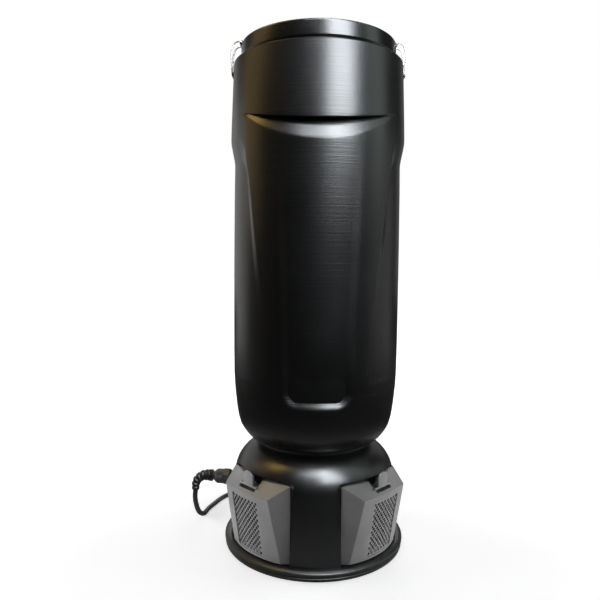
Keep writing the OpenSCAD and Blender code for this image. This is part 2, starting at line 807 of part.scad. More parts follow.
module field_coils() {
  coil_w = 7;
  over = 4;
  y = armature_r + air_gap + 1;
  color("#b5652b") for (s = [-1, 1]) scale([1, s, 1]) intersection() {
    cylinder(r = stator_r - 6.2, h = far);
    translate([0, 0, stator_z[0] - over]) difference() {
      translate([-pole_w/2 - coil_w, y * 0.55, 0])
        cube([pole_w + 2 * coil_w, 30, stator_z[1] - stator_z[0] + 2 * over]);
      translate([-pole_w/2 - 0.1, 0, over - 0.1]) cube([pole_w + 0.2, 60, stator_z[1] - stator_z[0] + 0.2]);
      cylinder(r = armature_r + air_gap + 1, h = far);
    }
  }
}

brush_in = comm_r + 0.2;
brush_len = 14;
brush_out = frame_r - frame_t - 1;
module at_brushes() {
  for (s = [0, 180]) rotate([0, 0, s]) translate([0, 0, brush_z]) children();
}
module brush_holders() {
  color("#c9a94a") at_brushes() difference() {
    translate([brush_in + 2, -brush_w/2 - 1.6, -4.6]) cube([brush_out - brush_in - 2.5, brush_w + 3.2, 9.2]);
    translate([0, -brush_w/2 - 0.1, -3.1]) cube([brush_out - 1, brush_w + 0.2, 6.2]);
  }
}
module carbon_brushes() {
  color("#2b2b2b") at_brushes() translate([brush_in, -brush_w/2, -3]) cube([brush_len, brush_w, 6]);
}
module brush_springs() {
  color("#b0b3b6") at_brushes() translate([brush_in + brush_len, 0, 0]) rotate([0, 90, 0])
    cylinder(r = 2.4, h = brush_out - 1 - brush_in - brush_len);
}

module bearing(z) {
  color("#d0d2d4") ring(bearing_r - 0.02, shaft_r + 0.04, z, bearing_h);
}
module upper_bearing() { bearing(upper_bearing_z); }
module lower_bearing() { bearing(lower_bearing_z - 1); }

// ================= rotor
shaft_z = motor_z + 9;
shaft_top = motor_top - 4;
lower_fan_z = bracket_z + bearing_h;
fan_h = 10;
upper_fan_z = diffuser_z + 4;
fan_r = motor_r - 8;
cooling_fan_r = 34;

module motor_shaft() {
  color("#d8d9db") translate([0, 0, shaft_z]) cylinder(r = shaft_r, h = shaft_top - shaft_z);
}
module armature_core() {
  color("#7a7d82") difference() {
    ring(armature_r, shaft_r, stator_z[0], stator_z[1] - stator_z[0]);
    around(12) translate([armature_r - 2, -0.8, 0]) cube([4, 1.6, far]);
  }
}
module armature_windings() {
  over = 3;
  color("#a8562a") {
    ring(armature_r - 3, shaft_r, stator_z[1], over);
    ring(armature_r - 3, shaft_r, comm_z + comm_h, stator_z[0] - comm_z - comm_h);
  }
}
module commutator() {
  color("#b87333") difference() {
    ring(comm_r, shaft_r, comm_z, comm_h);
    around(16) translate([comm_r - 1, -0.4, 0]) cube([2, 0.8, far]);
  }
}
// Fan with a plate above and below, and straight blades leaning back
module fan(z, r, blades) {
  plate = 1.2;
  difference() {
    union() {
      ring(r, shaft_r + 8, z + fan_h - plate, plate);
      translate([0, 0, z]) cylinder(r = r, h = plate);
      translate([0, 0, z]) cylinder(r = shaft_r + 4, h = fan_h);
      around(blades) translate([shaft_r + 10, 0, z]) rotate([0, 0, -32]) cube([r * 0.62, 1.2, fan_h]);
    }
    translate([0, 0, z - 1]) cylinder(r = shaft_r, h = fan_h + 2);
  }
}
module lower_fan() { color("#cfd1d3") fan(lower_fan_z, fan_r, 7); }
module upper_fan() { color("#cfd1d3") fan(upper_fan_z, fan_r, 7); }
module cooling_fan() {
  color("#303034") difference() {
    union() {
      translate([0, 0, shaft_z]) cylinder(r = cooling_fan_r, h = 1.5);
      translate([0, 0, shaft_z]) cylinder(r = shaft_r + 3, h = 7);
      around(8) translate([shaft_r + 4, -0.7, shaft_z]) cube([cooling_fan_r - shaft_r - 5, 1.4, 7]);
    }
    translate([0, 0, shaft_z - 1]) cylinder(r = shaft_r, h = 12);
  }
}
module fan_nut() {
  color("#b8b8b8") difference() {
    translate([0, 0, upper_fan_z + fan_h]) cylinder(r = shaft_r + 3.6, h = 4, $fn = 6);
    cylinder(r = shaft_r, h = far);
  }
}

// ================= inside the housing
module acoustic_foam() {
  color("#4a4a4e") difference() {
    ring(motor_r + 8, motor_r + 2, plate_t, bracket_z - plate_t - 4);
    at_wall(switch_angle, switch_z) translate([-switch_w/2 - 3, -switch_h/2 - 3, 0])
      cube([switch_w + 6, switch_h + 6, far]);
    at_wall(gland_angle, gland_z) cylinder(r = gland_r + 4, h = far);
  }
}

module terminal_block() {
  color("#e2dfd2") rotate([0, 0, gland_angle]) translate([-18, -(frame_r + 20), plate_t]) difference() {
    cube([36, 12, 14]);
    for (i = [0:3]) translate([4.5 + 9 * i, 6, 8]) cylinder(r = 2.6, h = 10);
  }
}

switch_depth = 20;
switch_flange_gap = 1;
module at_switch() {
  at_wall(switch_angle, switch_z) translate([0, 0, wall_r(switch_z) + switch_flange_gap]) children();
}
module switch_housing() {
  color("#0d0d0d") at_switch() difference() {
    union() {
      translate([-switch_w/2 + 0.1, -switch_h/2 + 0.1, -switch_depth])
        cube([switch_w - 0.2, switch_h - 0.2, switch_depth]);
      translate([-switch_w/2 - 2.5, -switch_h/2 - 2.5, 0]) cube([switch_w + 5, switch_h + 5, 2]);
    }
    translate([-switch_w/2 + 2.5, -switch_h/2 + 2.5, -9]) cube([switch_w - 5, switch_h - 5, 20]);
    translate([0, 0, -3.5]) rotate([0, 0, 90]) rod_x(1.25, switch_h - 1);
  }
}
rocker_half = switch_w/2 - 3.2;
module switch_rocker() {
  w = switch_h - 6;
  color("#a01c1c") at_switch() translate([0, 0, -3.5]) rotate([0, 10, 0]) {
    translate([0, w/2, 0]) rotate([90, 0, 0]) linear_extrude(w) difference() {
      intersection() {
        translate([-rocker_half, -1.2]) square([2 * rocker_half, 6.5]);
        translate([0, -4]) circle(r = rocker_half);
      }
      translate([0, 18]) circle(r = 13.4);
    }
    rotate([0, 0, 90]) rod_x(1.2, switch_h - 1.6);
  }
}

// ================= harness plate
harness_screw_r = 2.5;
module harness_plate() {
  color("#2b2b2d") translate([0, harness_y, harness_z]) rotate([-90, 0, 0])
  linear_extrude(harness_t) difference() {
    polygon(concat(
      arc([harness_w/2 - 15, harness_h/2 - 15], 15, 0, 90, 5),
      arc([15 - harness_w/2, harness_h/2 - 15], 15, 90, 180, 5),
      arc([15 - harness_w/2, 15 - harness_h/2], 15, 180, 270, 5),
      arc([harness_w/2 - 15, 15 - harness_h/2], 15, 270, 360, 5)));
    for (x = [-1, 1], z = [-1, 1]) {
      translate([x * harness_screw_x, z * harness_screw_z]) circle(r = harness_screw_r + 0.3, $fn = 32);
      translate([x * harness_dx/2, z * harness_dz/2]) circle(r = harness_bolt_r, $fn = 48);
    }
  }
}
module harness_screws() {
  color("#b8b8b8") at_harness_screws() translate([0, 0, harness_t])
    screw(harness_screw_r, harness_t + insert_len - 1, 4.6, 3);
}
module harness_inserts() {
  color("#c9a94a") at_harness_screws() translate([0, 0, -insert_len]) difference() {
    cylinder(r = insert_r, h = insert_len - 0.2);
    translate([0, 0, -1]) cylinder(r = harness_screw_r, h = insert_len + 2);
  }
}

// ================= mains cable
gland_len = 38;
boot_r = 8.5;
locknut = [-wall - 7, 4.5];   // each as its start along the gland and its length
washer = [1.6, 3.4];
body_hex = [11.5, 8.5];
clamp_nut = [20.8, 9.4];
nose = [30.2, 3];
module cable_gland() {
  tail = 8;
  color("#1a1a1a") at_wall(gland_angle, gland_z) translate([0, 0, gland_face]) difference() {
    union() {
      translate([0, 0, -wall - tail]) cylinder(r = thread_r - running, h = gland_len + wall + tail - 2);
      translate([0, 0, locknut[0]]) cylinder(r = gland_r + 1.5, h = locknut[1], $fn = 6);
      translate([0, 0, washer[0]]) cylinder(r = gland_r + 1, h = washer[1]);
      translate([0, 0, body_hex[0]]) cylinder(r = gland_r + 1, h = body_hex[1], $fn = 6);
      translate([0, 0, clamp_nut[0]]) cylinder(r = gland_r, h = clamp_nut[1] + eps);
      translate([0, 0, nose[0]]) cylinder(r1 = gland_r, r2 = thread_r, h = nose[1]);
      translate([0, 0, gland_len - 2]) cylinder(r = thread_r - 2, h = 2);
    }
    ring(thread_r + 1, thread_r - 2, nose[0] + nose[1], gland_len - nose[0] - nose[1] - 2);
    translate([0, 0, -20]) cylinder(r = cable_r + 0.5, h = gland_len + 10);
  }
}

// The strain relief bends down from the gland; the cable hangs from it to the floor and runs behind
gland_end = gland_face + gland_len;
boot_dir = [sin(gland_angle), -cos(gland_angle), 0];
hang_dir = [0, 0.15, -1];
boot_start = gland_end * boot_dir + [0, 0, gland_z];
boot_end = boot_start + [-25, 5.5, -22];
boot_points = [boot_start, boot_start + 6 * boot_dir, boot_start + [-13, 2.4, -1],
               boot_start + [-20.5, 3.8, -6], boot_start + [-24.5, 4.7, -14], boot_end];
plug_dir = [1, 0, 0];
cable_points = [
  boot_end, [-170, 32, 40], [-169, 37, 25], [-166, 45, 11], [-161, 56, 4],
  [-157, 74, 3.6], [-150, 93, 3.6], [-141, 114, 3.6], [-126, 134, 3.6], [-104, 152, 3.6],
  [-76, 164, 3.6], [-44, 170, 3.6], [-12, 172, 3.6], [16, 172, 4.5],
  [38, 172, 9], [54, 172, 12], [64, 172, 12]];

// A point on the smooth curve through the points, between numbers i and i+1
function through(p, i, t) = let (
    a = p[max(i-1, 0)], b = p[i], c = p[min(i+1, len(p)-1)], d = p[min(i+2, len(p)-1)])
  0.5 * (2*b + (c-a)*t + (2*a - 5*b + 4*c - d)*t*t + (3*b - a - 3*c + d)*t*t*t);
function smooth(p, steps) = concat(
  [for (i = [0:len(p)-2], s = [0:steps-1]) through(p, i, s/steps)], [p[len(p)-1]]);
function unit(v) = v / norm(v);

// A tube along a line of points, with a radius for each ring and square ends that face along ends
module sweep(p, radii, sides, ends) {
  side_axis = [0.6, -0.5, 0.62];  // no stretch of the tubes runs along this
  n = len(p);
  rings = [for (i = [0:n-1]) let (
      t = unit(i == 0 ? ends[0] : i == n-1 ? ends[1] : p[i+1] - p[i-1]),
      u = unit(cross(side_axis, t)),
      v = cross(t, u))
    for (k = [0:sides-1]) p[i] + radii[i] * (cos(360*k/sides) * u + sin(360*k/sides) * v)];
  walls = [for (i = [0:n-2], k = [0:sides-1]) let (a = i*sides + k, b = i*sides + (k+1)%sides)
    each [[a, b, a + sides], [b, b + sides, a + sides]]];
  caps = [for (k = [1:sides-2]) each [[0, k+1, k], [(n-1)*sides, (n-1)*sides + k, (n-1)*sides + k + 1]]];
  polyhedron(rings, concat(walls, caps));
}

boot_steps = 4;
module strain_relief() {
  path = smooth(boot_points, boot_steps);
  last = len(path) - 1;
  groove = 1.3;
  radii = [for (i = [0:last]) let (taper = boot_r - (boot_r - cable_r - 1.6) * i / last)
    taper - (i % 3 == 2 && i < last - 1 ? groove : 0)];
  color("#161616") sweep(path, radii, 12, [boot_dir, hang_dir]);
}
module mains_cable() {
  path = [for (q = smooth(cable_points, 2)) [q[0], q[1], max(q[2], cable_r + 0.1)]];
  color("#1b1b1b") sweep(path, [for (q = path) cable_r], 12, [hang_dir, plug_dir]);
}

plug_start = cable_points[len(cable_points)-1];
plug_r = 11.8;
plug_x = [0, 18, 32, 36, 46];  // ends of the plug's nose, body, grip and face
module mains_plug() {
  color("#171717") translate(plug_start) rotate([0, 90, 0]) {
    cylinder(r1 = cable_r + 1.5, r2 = plug_r - 2.8, h = plug_x[1]);
    translate([0, 0, plug_x[1]]) cylinder(r = plug_r, h = plug_x[2] - plug_x[1]);
    translate([0, 0, plug_x[2]]) cylinder(r = plug_r - 2.3, h = plug_x[3] - plug_x[2]);
    translate([0, 0, plug_x[3]]) cylinder(r = plug_r, h = plug_x[4] - plug_x[3]);
  }
}
// Two flat blades and a round earth pin
module plug_pins() {
  blade = [17, 1.5, 6];
  blade_gap = 12.7;
  earth = [19, 2.4, 6.5];  // length, radius and height above the blades
  color("#c8b26a") translate(plug_start + [plug_x[4], 0, 0]) {
    for (s = [-1, 1]) translate([0, (s * blade_gap - blade[1]) / 2, -blade[2] / 2]) cube(blade);
    translate([0, 0, earth[2]]) rotate([0, 90, 0]) cylinder(r = earth[1], h = earth[0]);
  }
}

tank();
tank_screws();
neck_seal();
motor_housing();
base_ring();
base_plate();
base_screws();
harness_plate();
harness_screws();
harness_inserts();
lid();
lid_liner();
lid_gasket();
latch_left();
latch_right();
hose_cuff();
cuff_retainer();
dust_bag();
bag_collar();
cloth_filter();
cloth_filter_ring();
motor_filter();
fan_casing();
motor_bracket();
diffuser();
motor_frame();
motor_gasket();
motor_mount();
stator_core();
field_coils();
brush_holders();
carbon_brushes();
brush_springs();
upper_bearing();
lower_bearing();
motor_shaft();
armature_core();
armature_windings();
commutator();
lower_fan();
upper_fan();
fan_nut();
cooling_fan();
acoustic_foam();
terminal_block();
switch_housing();
switch_rocker();
exhaust_cover_left();
exhaust_cover_right();
exhaust_grille_left();
exhaust_grille_right();
latch_tab_left();
latch_tab_right();
exhaust_filters();
cover_hinge_pins();
cable_gland();
strain_relief();
mains_cable();
mains_plug();
plug_pins();
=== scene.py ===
# %% [markdown]
# # A backpack vacuum cleaner, built round its CAD frame
#
# The vacuum is a round black tank on a motor base, with a lift-off lid, two perforated exhaust covers
# and a short mains lead. The CAD model says where every part is. Here each part that can be seen gets
# its true surface and its finish, and it moves with the CAD body that it rides on.
#
# Lengths are worked out in millimetres and turned into metres as a mesh is made.

# %% Load the frame
import json
import math

import bmesh
import bpy
import numpy as np
from mathutils import Matrix, Vector

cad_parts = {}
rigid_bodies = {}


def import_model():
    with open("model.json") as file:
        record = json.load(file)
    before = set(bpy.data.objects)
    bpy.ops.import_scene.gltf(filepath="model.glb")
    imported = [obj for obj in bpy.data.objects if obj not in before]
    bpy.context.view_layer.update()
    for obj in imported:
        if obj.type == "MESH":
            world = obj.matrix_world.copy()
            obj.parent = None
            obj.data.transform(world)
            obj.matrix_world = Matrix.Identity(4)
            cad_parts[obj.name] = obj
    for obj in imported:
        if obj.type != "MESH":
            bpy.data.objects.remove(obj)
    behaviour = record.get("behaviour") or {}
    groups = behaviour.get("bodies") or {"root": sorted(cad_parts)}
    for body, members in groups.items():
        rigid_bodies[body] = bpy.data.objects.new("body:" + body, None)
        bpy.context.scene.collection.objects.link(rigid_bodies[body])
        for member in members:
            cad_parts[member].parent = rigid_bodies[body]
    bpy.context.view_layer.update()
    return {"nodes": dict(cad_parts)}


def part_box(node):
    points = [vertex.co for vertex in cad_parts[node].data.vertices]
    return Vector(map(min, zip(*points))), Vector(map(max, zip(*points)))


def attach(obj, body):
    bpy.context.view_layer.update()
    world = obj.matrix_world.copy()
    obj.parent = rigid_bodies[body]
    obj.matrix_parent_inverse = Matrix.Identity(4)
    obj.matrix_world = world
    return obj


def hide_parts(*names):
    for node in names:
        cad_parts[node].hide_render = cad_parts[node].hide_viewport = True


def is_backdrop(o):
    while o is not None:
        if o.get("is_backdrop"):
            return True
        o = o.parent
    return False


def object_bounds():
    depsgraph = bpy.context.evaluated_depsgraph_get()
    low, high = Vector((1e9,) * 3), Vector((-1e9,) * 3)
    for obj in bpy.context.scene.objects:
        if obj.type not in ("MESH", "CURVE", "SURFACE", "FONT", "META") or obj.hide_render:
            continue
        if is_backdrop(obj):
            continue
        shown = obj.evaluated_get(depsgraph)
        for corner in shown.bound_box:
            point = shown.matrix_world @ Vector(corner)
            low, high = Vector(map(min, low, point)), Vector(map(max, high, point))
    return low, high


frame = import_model()
nodes = frame["nodes"]
MM = 0.001

# %% [markdown]
# ## The camera
#
# The camera stands a little left of the middle, at a bit more than half the height of the vacuum, and
# looks slightly down. A small turn about its own line of sight makes the tank lean a hair to the right.
# The lens follows from the angle that one pixel covers.

# %% Camera
EYE = (-21.216, -778.588, 386.399)
PITCH, ROLL = 0.075, 0.00934
FOCAL_PX, FRAME_PX, SENSOR = 577.795, 600, 36.0

camera = bpy.data.objects.new("Camera", bpy.data.cameras.new("Camera"))
bpy.context.scene.collection.objects.link(camera)
camera.data.sensor_width = SENSOR
camera.data.lens = FOCAL_PX / FRAME_PX * SENSOR
camera.data.clip_start, camera.data.clip_end = 0.01, 50
camera.matrix_world = (Matrix.Translation(Vector(EYE) * MM)
                       @ Matrix.Rotation(math.pi / 2 - PITCH, 4, "X")
                       @ Matrix.Rotation(ROLL, 4, "Z"))
bpy.context.scene.camera = camera
print("lens", round(camera.data.lens, 2), "mm")

# %% [markdown]
# ## Grids, profiles and tubes
#
# Nearly every part is a grid of points: rows along one direction of the surface and columns along the
# other. A handful of helpers turn such grids into closed meshes, so that the cells further down only
# have to say what shape a part is.

# %% Grids into meshes
MICRON = 0.001  # in millimetres


def quads(rows, cols, round_rows, round_cols):
    """Corner numbers of the faces between neighbours. A round grid joins its last line to its first."""
    i = np.arange(rows if round_rows else rows - 1)[:, None]
    j = np.arange(cols if round_cols else cols - 1)[None, :]
    below, right = (i + 1) % rows, (j + 1) % cols
    corners = [i * cols + j, i * cols + right, below * cols + right, below * cols + j]
    return np.stack(corners, -1).reshape(-1, 4)


def weld(points, faces):
    """One point where several lie within a micrometre. A face without one corner is a triangle, or goes."""
    key = np.round(points / MICRON + 0.317).astype(np.int64)
    _, first, same = np.unique(key, axis=0, return_index=True, return_inverse=True)
    faces = same.reshape(-1)[faces]
    differs = faces != np.roll(faces, -1, axis=1)
    left = differs.sum(1)
    three = faces[left == 3][differs[left == 3]].reshape(-1, 3)
    return points[first], faces[left == 4], three


def face_outwards(mesh, core=None):
    """Turns the faces of each closed solid outwards, and those of an open sheet away from the point core.

    A sheet is right if the sum of area x normal . (middle - core) over its faces is positive."""
    work = bmesh.new()
    work.from_mesh(mesh)
    bmesh.ops.recalc_face_normals(work, faces=work.faces)
    if core is not None:
        core = Vector(core) * MM
        if sum(f.calc_area() * f.normal.dot(f.calc_center_median() - core) for f in work.faces) < 0:
            bmesh.ops.reverse_faces(work, faces=work.faces)
    work.to_mesh(mesh)
    work.free()


def as_grid(grid):
    """(points, round rows, round columns). Points on their own are rings: only their columns go round."""
    return grid if isinstance(grid, tuple) else (grid, False, True)


def placed(grids, put):
    """The grids with their points moved by the function put."""
    return [(put(points), *rounds) for points, *rounds in map(as_grid, grids)]


def show(name, data, finish=None):
    """An object of that data in the scene, with its finish."""
    obj = bpy.data.objects.new(name, data)
    bpy.context.scene.collection.objects.link(obj)
    if finish:
        data.materials.append(finish)
    return obj


def belongs(obj, body, stands_for):
    """Sets which body a piece rides on, and hides the CAD nodes that it stands for."""
    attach(obj, body)
    if stands_for:
        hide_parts(*stands_for)
    return obj


def piece(name, body, slot, grids, stands_for=(), crease=40, core=None, finish=None):
    """A mesh object made of grids, in its slot's finish unless another one is named, that rides on a body."""
    points, faces, start = [], [], 0
    for grid, round_rows, round_cols in map(as_grid, grids):
        rows, cols, _ = grid.shape
        points.append(grid.reshape(-1, 3))
        faces.append(quads(rows, cols, round_rows, round_cols) + start)
        start += rows * cols
    points, fours, threes = weld(np.concatenate(points).astype(float), np.concatenate(faces))
    mesh = bpy.data.meshes.new(name)
    mesh.from_pydata(points * MM, [], fours.tolist() + threes.tolist())
    face_outwards(mesh, core)
    mesh.shade_smooth()
    mesh.set_sharp_from_angle(angle=math.radians(crease))
    return belongs(show(name, mesh, FINISH[finish or slot]), body, stands_for)


def soften(obj, width, segments, angle):
    """Rounds the sharp edges of a piece with a Bevel modifier of that width in millimetres."""
    bevel = obj.modifiers.new("Edges", "BEVEL")
    bevel.width, bevel.segments = width * MM, segments
    bevel.limit_method, bevel.angle_limit = "ANGLE", math.radians(angle)


def thicken(obj, wall, even=True):
    """Gives an open sheet a wall on its inner side with a Solidify modifier."""
    solid = obj.modifiers.new("Wall", "SOLIDIFY")
    solid.thickness, solid.offset, solid.use_even_offset = wall * MM, -1, even


# %% Lines with rounded corners
def rounded(corners, radii, steps=5, closed=False):
    """A line through corners, each cut by a circular arc.

    The arc runs from A to B on the two sides of corner P as
    ((1-t)^2 A + 2wt(1-t) P + t^2 B) / ((1-t)^2 + 2wt(1-t) + t^2), where w is the sine of half the angle."""
    p = np.asarray(corners, float)
    r = np.broadcast_to(np.asarray(radii, float), (len(p),)).copy()
    if not closed:
        r[[0, -1]] = 0
    back, ahead = np.roll(p, 1, 0) - p, np.roll(p, -1, 0) - p
    len_back, len_ahead = np.linalg.norm(back, axis=1), np.linalg.norm(ahead, axis=1)
    back, ahead = back / len_back[:, None], ahead / len_ahead[:, None]
    half = np.arccos(np.clip((back * ahead).sum(1), -1, 1)) / 2
    cut = np.minimum(r / np.tan(np.maximum(half, 1e-3)), 0.499 * np.minimum(len_back, len_ahead))
    a, b = (p + back * cut[:, None])[:, None], (p + ahead * cut[:, None])[:, None]
    w = np.sin(half)[:, None, None]
    t = np.linspace(0, 1, steps + 1)[None, :, None]
    near, far, mid = (1 - t) ** 2, t ** 2, 2 * w * t * (1 - t)
    line = (near * a + mid * p[:, None] + far * b) / (near + mid + far)
    return line.reshape(-1, p.shape[1])


def pin_line(r, low, high, edges, steps=3):
    """The profile of a round pin between two heights, with its low and its high edge rounded."""
    return rounded([(0, low), (r, low), (r, high), (0, high)], [0, *edges, 0], steps)


def through(x, xs, ys):
    """A smooth line through the points (xs, ys): each cubic has the slopes of its neighbours at its ends."""
    xs, ys = np.asarray(xs, float), np.asarray(ys, float)
    slope = np.gradient(ys, xs)
    i = np.clip(np.searchsorted(xs, x, side="right") - 1, 0, len(xs) - 2)
    h = xs[i + 1] - xs[i]
    t = np.clip((x - xs[i]) / h, 0, 1)
    return (ys[i] * (2 * t**3 - 3 * t**2 + 1) + slope[i] * h * (t**3 - 2 * t**2 + t)
            + ys[i + 1] * (3 * t**2 - 2 * t**3) + slope[i + 1] * h * (t**3 - t**2))


def soft_step(m, soft):
    """0 below 0, m between 0 and 1, and 1 above 1, with both bends rounded over about soft."""
    return 0.5 * (np.sqrt(m**2 + soft**2) - np.sqrt((m - 1) ** 2 + soft**2) + 1)


# %% Turned and swept surfaces
SIDEWAYS, OUTWARD = [2, 0, 1], [0, 2, 1]  # orders of coordinates that lay a turned part's axis along x or y


def turned(profile, sides=96):
    """A surface of revolution: each (r, z) of the profile goes round as (r sin a, -r cos a, z)."""
    r, z = np.asarray(profile, float).T
    a = np.linspace(0, 2 * math.pi, sides, endpoint=False)
    return np.stack([np.outer(r, np.sin(a)), -np.outer(r, np.cos(a)), np.outer(z, np.ones(sides))], -1)


def pin(r, low, high, edges, sides=48):
    """A turned pin."""
    return turned(pin_line(r, low, high, edges), sides)


def sleeve(r_in, r_out, low, high, edge, steps=2, sides=32):
    """A turned ring between two radii and two heights, with all four edges rounded."""
    corners = [(r_in, low), (r_out, low), (r_out, high), (r_in, high)]
    return turned(rounded(corners, edge, steps, True), sides), True, True


def smooth_path(points, steps):
    """The Catmull-Rom curve: between p1 and p2 it is the cubic with the slopes (p2-p0)/2 and (p3-p1)/2."""
    p = np.asarray(points, float)
    q = np.concatenate([p[:1], p, p[-1:]])
    t = np.arange(steps)[None, :, None] / steps
    a, b, c, d = (q[k:len(q) - 3 + k][:, None] for k in range(4))
    line = 0.5 * (2 * b + (c - a) * t + (2 * a - 5 * b + 4 * c - d) * t**2 + (3 * b - a - 3 * c + d) * t**3)
    return np.concatenate([line.reshape(-1, p.shape[1]), p[-1:]])


def gaps(line):
    """The distance from each point of a line to the next."""
    return np.linalg.norm(np.diff(line, axis=0), axis=1)


def unit(v):
    """Vectors of length 1."""
    return v / np.linalg.norm(v, axis=1)[:, None]


def tube(path, radii, sides=16, side_axis=(0.6, -0.5, 0.62), first=None, last=None):
    """Rings of points round a path: p + r (cos k u + sin k v), with u and v square to the path."""
    p = np.asarray(path, float)
    along = np.gradient(p, axis=0)
    if first is not None:
        along[0] = first
    if last is not None:
        along[-1] = last
    along = unit(along)
    u = unit(np.cross(side_axis, along))
    v = np.cross(along, u)
    k = np.linspace(0, 2 * math.pi, sides, endpoint=False)[None, :, None]
    radii = np.broadcast_to(np.asarray(radii, float), (len(p),))[:, None, None]
    rings = p[:, None] + radii * (np.cos(k) * u[:, None] + np.sin(k) * v[:, None])
    ends = np.repeat(p[[0, -1]][:, None], sides, axis=1)
    return np.concatenate([ends[:1], rings, ends[1:]])


def at_wall(points, angle, z):
    """Moves points from a frame on the wall (across, up, out) to their place at that angle from the front."""
    p = np.asarray(points, float)
    x, y, up = p[..., 0], -p[..., 2], p[..., 1] + z
    c, s = math.cos(math.radians(angle)), math.sin(math.radians(angle))
    return np.stack([c * x - s * y, s * x + c * y, up], -1)


def stacked(rows, turns=5):
    """Rounded rectangles above each other: each row is (half width, half height, corner radius, z).

    A point is a corner's centre (w-r, h-r) plus r (cos k, sin k), with k going once round."""
    w, h, r, z = (np.asarray(v, float)[:, None] for v in zip(*rows))
    k = (np.arange(4)[:, None] * 90 + np.linspace(0, 90, turns + 1)).reshape(1, -1)
    corner = np.repeat(np.arange(4), turns + 1)
    sx, sy = np.array([1, -1, -1, 1])[corner][None], np.array([1, 1, -1, -1])[corner][None]
    x, y = sx * (w - r) + r * np.cos(np.radians(k)), sy * (h - r) + r * np.sin(np.radians(k))
    return np.stack([x, y, z + 0 * x], -1)


def rounded_block(size, r, cuts):
    """A block with round edges, centred on 0: a point of the cube goes in to the core, then out by r."""
    half = np.asarray(size, float) / 2
    near = 1 - np.linspace(1, 0.02, cuts) * 0.5
    s = np.unique(np.concatenate([[-1.0], -near, [0], near, [1.0]]))
    u, v = np.meshgrid(s, s, indexing="ij")
    one = np.ones_like(u)
    sides = []
    for axis in range(3):
        for sign in (-1, 1):
            q = np.roll(np.stack([one * sign, u, v], -1), axis, axis=-1) * half
            core = np.clip(q, -(half - r), half - r)
            away = q - core
            away /= np.maximum(np.linalg.norm(away, axis=-1, keepdims=True), 1e-9)
            sides.append((core + r * away, False, False))
    return sides


def moved(grids, shift):
    """The grids shifted in millimetres."""
    return placed(grids, lambda p: p + np.asarray(shift, float))


# %% [markdown]
# ## Finishes
#
# The record names one finish for each kind of part: moulded black plastics, rubber, steel, copper, felt
# and so on. Every finish here is made by one function. Two layers of noise in the object's own
# coordinates do the work: a broad one shifts colour and gloss by a little, as handling and moulding do,
# and a fine one becomes the grain that light catches. A third, drawn out into level lines, gives the
# faint marks that a round moulding keeps from its tool.

# %% One function for every finish
NOISE_LOW, NOISE_HIGH = 0.32, 0.68  # nearly all of a noise texture's values lie between these
LEVEL = (5, 5, 800)  # stretches noise into level lines


def remap(tree, value, low, high, to_low, to_high):
    """A node that turns low..high into to_low..to_high and stays at the ends beyond them."""
    node = tree.nodes.new("ShaderNodeMapRange")
    for k, number in enumerate((low, high, to_low, to_high)):
        node.inputs[k + 1].default_value = number
    tree.links.new(value, node.inputs[0])
    return node.outputs[0]


def new_finish(name, colour, rough, metal, tone, patch, rough_by, grain, relief, lines=0, sheen=0, coat=0):
    """A Principled material.

    Colour = colour x (1 + tone x n) and roughness = rough + rough_by x n, where n runs from -1 to 1 over
    patches 1/patch metres wide. Height = relief x fine noise + lines x noise that varies only with height."""
    mat = bpy.data.materials.new(name)
    mat.use_nodes = True
    tree = mat.node_tree
    new, link = tree.nodes.new, tree.links.new
    shader = tree.nodes["Principled BSDF"]
    for socket, value in (("Metallic", metal), ("Sheen Weight", sheen), ("Coat Weight", coat)):
        shader.inputs[socket].default_value = value
    place = new("ShaderNodeTexCoord").outputs["Object"]

    def noise(scale, detail, squeeze=(1, 1, 1)):
        turn, tex = new("ShaderNodeMapping"), new("ShaderNodeTexNoise")
        turn.inputs["Scale"].default_value = squeeze
        link(place, turn.inputs["Vector"])
        link(turn.outputs["Vector"], tex.inputs["Vector"])
        tex.inputs["Scale"].default_value, tex.inputs["Detail"].default_value = scale, detail
        return tex.outputs["Fac"]

    ramp = new("ShaderNodeValToRGB")
    for stop, where, factor in zip(ramp.color_ramp.elements, (NOISE_LOW, NOISE_HIGH), (1 - tone, 1 + tone)):
        stop.position, stop.color = where, (*(min(c * factor, 1) for c in colour), 1)
    link(noise(patch, 3), ramp.inputs["Fac"])
    link(ramp.outputs["Color"], shader.inputs["Base Color"])
    gloss = remap(tree, noise(patch * 1.7, 4), 0.3, 0.7, max(rough - rough_by, 0.02), rough + rough_by)
    link(gloss, shader.inputs["Roughness"])
    height, normal = [(noise(grain, 2), relief)], None
    if lines:
        height.append((noise(1, 3, LEVEL), lines))
    for value, size in height:
        bump = new("ShaderNodeBump")
        bump.inputs["Strength"].default_value = 1
        bump.inputs["Distance"].default_value = size * MM
        link(value, bump.inputs["Height"])
        if normal:
            link(normal, bump.inputs["Normal"])
        normal = bump.outputs["Normal"]
    link(normal, shader.inputs["Normal"])
    return mat


# %% [markdown]
# ## The record's finishes
#
# The tank and the lid are glossy black mouldings, the exhaust covers are a slightly lighter plastic with
# a spark-eroded grain, and the ring round the foot is dull rubber. Inside are galvanised and bright
# steel, cast aluminium, a laminated iron stack, enamelled copper, brass, carbon, card, felt and foam.

# %% The table of finishes
def grey(value):
    """A neutral colour of that brightness."""
    return (value, value, value)


